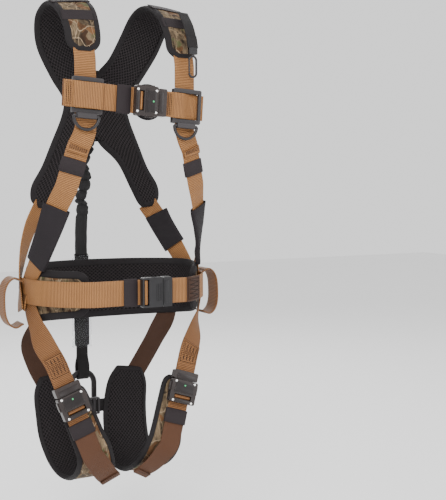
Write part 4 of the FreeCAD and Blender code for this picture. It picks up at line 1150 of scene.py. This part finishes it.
# ---- Leg pads -------------------------------------------------------------------------
# A broad padded cradle under each thigh, made like the yoke. It hangs between the front
# strap's lower end and the brown rear strap, and its ends are rounded.
LEG_PAD_HALF_THICK = 0.0045
LEG_PAD_WIDTH = 0.086
LEG_PAD_ROWS = 4
PAD_BEHIND = 0.0011 + 0.0047 + LEG_PAD_HALF_THICK
PAD_FRONT = ((0.022, 0.40), (0.010, 0.62), (-0.030, 0.66), (-0.070, 0.68), (-0.098, 0.74))
PAD_REST = ((0.058, -0.080, -0.812, 0.84), (0.054, -0.038, -0.836, 0.94),
            (0.055, 0.008, -0.840, 0.98), (0.060, 0.046, -0.822, 1.0),
            (0.064, 0.072, -0.784, 1.05), (0.068, 0.082, -0.742, 1.02),
            (0.074, 0.084, -0.700, 0.93), (0.078, 0.084, -0.672, 0.60))


def pad_away(point):
    """Away from the middle of the leg loop."""
    if point.z > -0.785:
        return LEG_FRONT if point.y < 0 else Vector((0, 1, 0.05))
    return Vector((0, (point.y + 0.005) / 0.095, (point.z + 0.785) / 0.050))


for name, side in (("right", -1), ("left", 1)):
    inward = LEG_FRONT * -PAD_BEHIND + Vector((-0.008 * side, 0, 0))
    middle = [strap_line(side, rise) + inward for rise, share in PAD_FRONT]
    middle += [leg_point(side, x, y, z) for x, y, z, share in PAD_REST]
    shares = [share for rise, share in PAD_FRONT] + [p[3] for p in PAD_REST]
    edges = ([], [])
    for k, (spot, share) in enumerate(zip(middle, shares)):
        ahead = (middle[min(k + 1, len(middle) - 1)] - middle[max(k - 1, 0)]).normalized()
        sideways = ahead.cross(pad_away(spot)).normalized() * LEG_PAD_WIDTH * share / 2
        edges[0].append(spot - sideways)
        edges[1].append(spot + sideways)
    near, far = (even_line(line, LEG_PAD_ROWS) for line in edges)
    centre_line = [(a + b) / 2 for a, b in zip(near, far)]
    lifts = []
    for k, spot in enumerate(centre_line):
        ahead = (centre_line[min(k + 1, len(centre_line) - 1)] - centre_line[max(k - 1, 0)])
        lifts.append((far[k] - near[k]).cross(ahead).normalized())
        if lifts[-1].dot(pad_away(spot)) < 0:
            lifts[-1].negate()
    pad_mesh = bmesh.new()
    pad_mesh.verts.layers.float_vector.new("lift")
    pad_mesh.verts.layers.float_vector.new("where")
    pad_grid(pad_mesh, near, far, lifts, 12)
    pad, tape = finish_pad(f"leg_cushion_{name}", pad_mesh, LEG_PAD_HALF_THICK, "harness",
                           tape=0.0065)
    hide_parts(f"leg_pad_{name}")


# ---- Waist buckle ---------------------------------------------------------------------
# Moulded nylon side-release buckle: the plug's prongs spring into windows in the socket.
# The long webbing turns round the socket's adjuster bar and runs back under a keeper.
def moulded(name, colour, roughness):
    """Moulded nylon: a fine grain and slight sheen."""
    nylon = finish(name, colour, roughness, Specular_IOR_Level=0.30)
    place = add(nylon, "TexCoord", out="Object")
    grain = add(nylon, "TexNoise", {"Vector": place, "Scale": 2600.0, "Detail": 2.0}, out="Fac")
    cloudy = add(nylon, "TexNoise", {"Vector": place, "Scale": 70.0, "Detail": 3.0}, out="Fac")
    uneven = add(nylon, "MapRange", {"Value": cloudy, "To Min": roughness - 0.06,
                                     "To Max": roughness + 0.10})
    lighter = tuple(value * 1.3 for value in colour)
    return apply_look(nylon, blended(nylon, cloudy, colour, lighter), grain, 0.00015, 0.4, uneven)


nylon_black = moulded("nylon_black", (0.011, 0.0105, 0.0115), 0.34)
painted("waist_socket", nylon_black)
painted("waist_plug", nylon_black)
WAIST_FRAME = (Matrix.Translation((0.025, WAIST_Y, WAIST_Z))
               @ Matrix.Rotation(math.radians(90), 4, "Y"))
buckle_bar("waist_bar_webbing", WAIST_FRAME, -0.0222, -0.0150, 0.042, tan_webbing, "waist_socket",
           0.0118)
ribs = bmesh.new()
for k in range(4):
    rounded_plate(ribs, (0.030, 0.0012, 0.0014), (0, -0.0138, 0.0035 + 0.0032 * k - 0.0025),
                  WAIST_FRAME, 0.0004)
piece("waist_socket_ribs", ribs, [nylon_black], "waist_socket")
plug_face = bmesh.new()
rounded_plate(plug_face, (0.040, 0.0014, 0.0080), (0, -0.0139, 0.0195), WAIST_FRAME, 0.0005)
piece("waist_plug_face", plug_face, [nylon_black], "harness")
keeper_band("waist_elastic", WAIST_FRAME @ Vector((0, 0, -0.044)), Vector((1, 0, 0)),
            Vector((0, 0, -1)), Vector((0, -1, 0)), 0.044, 0.026, "waist_keeper", "waist_keeper")


# ---- Side loops -----------------------------------------------------------------------
# A stiff loop of tan webbing, darkened with painted shade like the leg straps, stands out at
# each hip for a lineman's belt. Its ends are flattened and sewn behind the shoulder webbing.
LOOP_ROUTE = ((0.176, 0, -0.482), (0.192, 0, -0.476), (0.205, 0, -0.490), (0.208, 0, -0.518),
              (0.204, 0, -0.548), (0.191, 0, -0.562), (0.176, 0, -0.556))
LOOP_WIDTH = 0.040


def from_loop(point):
    return Vector((point.x - math.copysign(0.184, point.x), 0, point.z + 0.519))


for name, side in (("right", -1), ("left", 1)):
    places = strap_places([mirrored(side, point) for point in LOOP_ROUTE], from_loop, step=0.003)
    narrow = []
    for spot, along, across, out, run in places:
        sway = Vector((0, 0.0025 * math.sin(run * 34 + side), 0))
        narrow.append((spot + sway, along, across, out, run))
    strap = webbing(f"side_loop_webbing_{name}", narrow, LOOP_WIDTH, shaded_leg_webbing, "harness",
                    0.0026)
    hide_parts(f"side_loop_{name}")
    whole = narrow[-1][4]
    stitched(f"side_loop_stitches_{name}", narrow,
             [((-0.016, run), (0.016, run)) for run in (0.004, 0.008, whole - 0.008,
                                                        whole - 0.004)],
             0.0016, "harness", dark_thread)


# ---- Link strap -----------------------------------------------------------------------
# A black 25 mm strap joins the two leg pads behind the thighs; a steel glide sets it.
LINK_Y = 0.084
LINK_LEVEL = -0.742
link_places = strap_places([(-0.058, LINK_Y, LINK_LEVEL), (0.034, LINK_Y, LINK_LEVEL)],
                           behind_point, (0,), 0.004)
link = webbing("link_webbing", link_places, 0.025, black_webbing, "harness")
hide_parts("link_strap")
painted("tri_glide", coated_steel)


# ---- Tether: yoke strap, absorber and carabiner ---------------------------------------
# A black strap sewn down the yoke's spine carries the tether. Below the elastic sleeve the
# tear webbing is folded into a pack in a clear cover, and ends in a loop for a carabiner.
dorsal_places = strap_places([(0, 0.0893, -0.098), (0, 0.0896, -0.160), (0, 0.0900, -0.222)],
                             lambda point: Vector((0, 1, 0)), step=0.005)
dorsal = webbing("yoke_spine_strap", dorsal_places, 0.034, black_webbing, "harness")
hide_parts("dorsal_strap")
stitched("yoke_spine_stitches", dorsal_places,
         zigzag_box(0.028, 0.004, 0.034, 3) + zigzag_box(0.028, 0.088, 0.120, 3), 0.0013,
         "harness", black_thread)
PACK_X, PACK_Y, PACK_TOP, PACK_LENGTH = -0.014, 0.134, -0.452, 0.182


def pack_strap(name, points, width, thick=0.0022, step=0.003):
    """Black webbing in the middle plane of the pack; points are (forward, down) from its top."""
    route = [Vector((PACK_X, PACK_Y + y, PACK_TOP + z)) for y, z in points]
    line = smooth_line(route, step=step)
    run = distances(line)
    places = []
    for k, spot in enumerate(line):
        along = (line[min(k + 1, len(line) - 1)] - line[max(k - 1, 0)]).normalized()
        across = Vector((1, 0, 0))
        places.append((spot, along, across, across.cross(along), run[k]))
    return webbing(name, places, width, black_webbing, "harness", thick)


pack = pack_strap("tear_webbing", ((0, 0.002), (-0.0028, -0.004), (-0.0030, -0.090),
                                   (-0.0028, -0.174), (-0.0008, -0.1785), (0.0010, -0.172),
                                   (0.0012, -0.090), (0.0014, -0.020), (0.0030, -0.012),
                                   (0.0036, -0.030), (0.0036, -0.150)), 0.029)
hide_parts("absorber_pack")
loop = pack_strap("tether_loop", ((0.0015, -0.168), (0.0012, -0.186), (0.0022, -0.202),
                           (0.0092, -0.216), (0.0098, -0.232), (0.0054, -0.2436),
                           (0, -0.2452), (-0.0054, -0.2436), (-0.0098, -0.232),
                           (-0.0092, -0.216), (-0.0022, -0.202), (-0.0012, -0.186),
                           (-0.0015, -0.168)), 0.023, 0.0020)
loop_tacks = [(Vector((PACK_X, PACK_Y + 0.0034, PACK_TOP - 0.186)), Vector((0, 0, -1)),
               Vector((1, 0, 0)), Vector((0, 1, 0)), 0.0),
              (Vector((PACK_X, PACK_Y + 0.0040, PACK_TOP - 0.206)), Vector((0, 0, -1)),
               Vector((1, 0, 0)), Vector((0, 1, 0)), 0.020)]
loop_stitches = stitched("tether_loop_stitches", loop_tacks, zigzag_box(0.018, 0.001, 0.017, 3), 0.0003,
         "harness", black_thread)

clear_vinyl = finish("clear_vinyl", (0.90, 0.92, 0.95), 0.12, IOR=1.12, Transmission_Weight=0.96,
                     Alpha=0.30)
place = add(clear_vinyl, "TexCoord", out="Object")
creases = add(clear_vinyl, "TexNoise", {"Vector": place, "Scale": 28.0, "Detail": 1.0}, out="Fac")
misty = add(clear_vinyl, "MapRange", {"Value": creases, "From Min": 0.3, "From Max": 0.7,
                                      "To Min": 0.08, "To Max": 0.20})
apply_look(clear_vinyl, None, creases, 0.0008, 0.35, misty)
cover_mesh = bmesh.new()
cover_section = []
for k in range(32):
    turn = 2 * math.pi * (k + 0.5) / 32
    x, y = math.cos(turn), math.sin(turn)
    cover_section.append((0.0190 * math.copysign(abs(x) ** 0.4, x),
                          0.0073 * math.copysign(abs(y) ** 0.6, y)))


def cover_point(corner, down):
    """Clear tube, drawn in at the top and creased where it is welded near the bottom."""
    neck = 1 - 0.18 * max(0, 1 - down / 0.020) ** 2
    weld = 1 - 0.12 * math.exp(-((down - 0.163) / 0.003) ** 2)
    spot = Vector((PACK_X + corner[0] * neck * weld, PACK_Y + corner[1] * (1.0 if weld > 0.97 else
                                                                         0.86),
                   PACK_TOP - down))
    bulge = noise.noise(spot * 42) * 0.0009
    return spot + Vector((0, math.copysign(bulge, corner[1]), 0)), corner[0], down


extruded(cover_mesh, cover_section, [0.182 * k / 60 for k in range(61)], cover_point, capped=False)
cover = piece("clear_cover", cover_mesh, [clear_vinyl], "harness")
wall = cover.modifiers.new("wall", "SOLIDIFY")
wall.thickness = 0.0006
wall.offset = -1
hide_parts("absorber_cover")

orange_print = finish("orange_label", (0.86, 0.17, 0.035), 0.5)
place = add(orange_print, "TexCoord", out="Object")
faded = add(orange_print, "TexNoise", {"Vector": place, "Scale": 40.0, "Detail": 4.0}, out="Fac")
fibre = add(orange_print, "TexNoise", {"Vector": place, "Scale": 1200.0}, out="Fac")
apply_look(orange_print, blended(orange_print, faded, (0.86, 0.085, 0.006), (0.95, 0.115, 0.010)),
           fibre, 0.0001, 0.3)
label_mesh = bmesh.new()
rounded_plate(label_mesh, (0.025, 0.0004, 0.088), (PACK_X, PACK_Y + 0.0081, PACK_TOP - 0.104),
              Matrix.Identity(4), 0.00015)
label = piece("plain_label", label_mesh, [orange_print], "harness")
for node in ("carabiner", "carabiner_gate", "carabiner_lock"):
    painted(node, coated_steel)
collars = bmesh.new()
HOOK_TOP = PACK_TOP - 0.232
for level in (-0.0425, -0.0535):
    ring = bmesh.ops.create_circle(collars, cap_ends=False, radius=0.0070, segments=24)["verts"]
    bmesh.ops.transform(collars, verts=ring, matrix=Matrix.Translation(
        (PACK_X - 0.024, PACK_Y, HOOK_TOP + level)))
    edges = list({edge for vert in ring for edge in vert.link_edges})
    tall = bmesh.ops.extrude_edge_only(collars, edges=edges)["geom"]
    bmesh.ops.translate(collars, vec=(0, 0, 0.0016),
                        verts=[v for v in tall if isinstance(v, bmesh.types.BMVert)])
bmesh.ops.holes_fill(collars, edges=[edge for edge in collars.edges if edge.is_boundary])
bmesh.ops.recalc_face_normals(collars, faces=collars.faces)
rings = piece("lock_rings", collars, [anodised], "carabiner_lock")


# ---- Gear hook ------------------------------------------------------------------------
# A small swivel snap hangs from a black tape on the left shoulder, for a light or a call.
snap_route = [(0.106, -0.076, -0.008), (0.104, -0.102, -0.034), (0.103, -0.115, -0.056),
              (0.103, -0.121, -0.076)]
snap_places = strap_places(snap_route, lambda point: Vector((0, -1, 0.25)), step=0.004)
snap_tape = webbing("snap_tape", snap_places, 0.020, black_webbing, "harness")
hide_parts("snap_strap")
webbing("snap_tape_turned_end", layer_places(snap_places, snap_places[-1][4] - 0.022,
                                             snap_places[-1][4], 0.0022, 0.003), 0.0195,
        black_webbing, "harness", 0.0019)
painted("snap_eye", nylon_black)
painted("snap_hook", coated_steel)
painted("snap_gate", coated_steel)


# ---- Shoulder tabs --------------------------------------------------------------------
# Bands of black elastic cross each shoulder arch to hold hoses or cords. They are sewn down
# at the pad's edges, and the print shows between them.
def across_yoke(side, row):
    """Edges and outward direction of the yoke at a row between its sections."""
    number = min(int(row), len(YOKE_EDGES) - 2)
    share = row - number
    before, after = YOKE_EDGES[number], YOKE_EDGES[number + 1]
    near, far, away = (mirrored(side, a).lerp(mirrored(side, b), share)
                       for a, b in zip(before, after))
    return near, far, away.normalized()


for name, side in (("right", -1), ("left", 1)):
    for number, row in enumerate((2.62, 3.85)):
        near, far, away = across_yoke(side, row)
        ahead = across_yoke(side, row - 0.2)[0] - across_yoke(side, row + 0.2)[0]
        route = []
        for k in range(7):
            share = 0.02 + 0.96 * k / 6
            crown = 0.0058 + 0.0012 * (1 - (2 * k / 6 - 1) ** 2)
            route.append(near.lerp(far, share) + away * crown)
        places = strap_places(route, lambda point, away=away: away, step=0.004)
        webbing(f"shoulder_band_{name}_{number + 1}", places, 0.026 if number else 0.022,
                elastic_cloth, "harness", 0.0014)
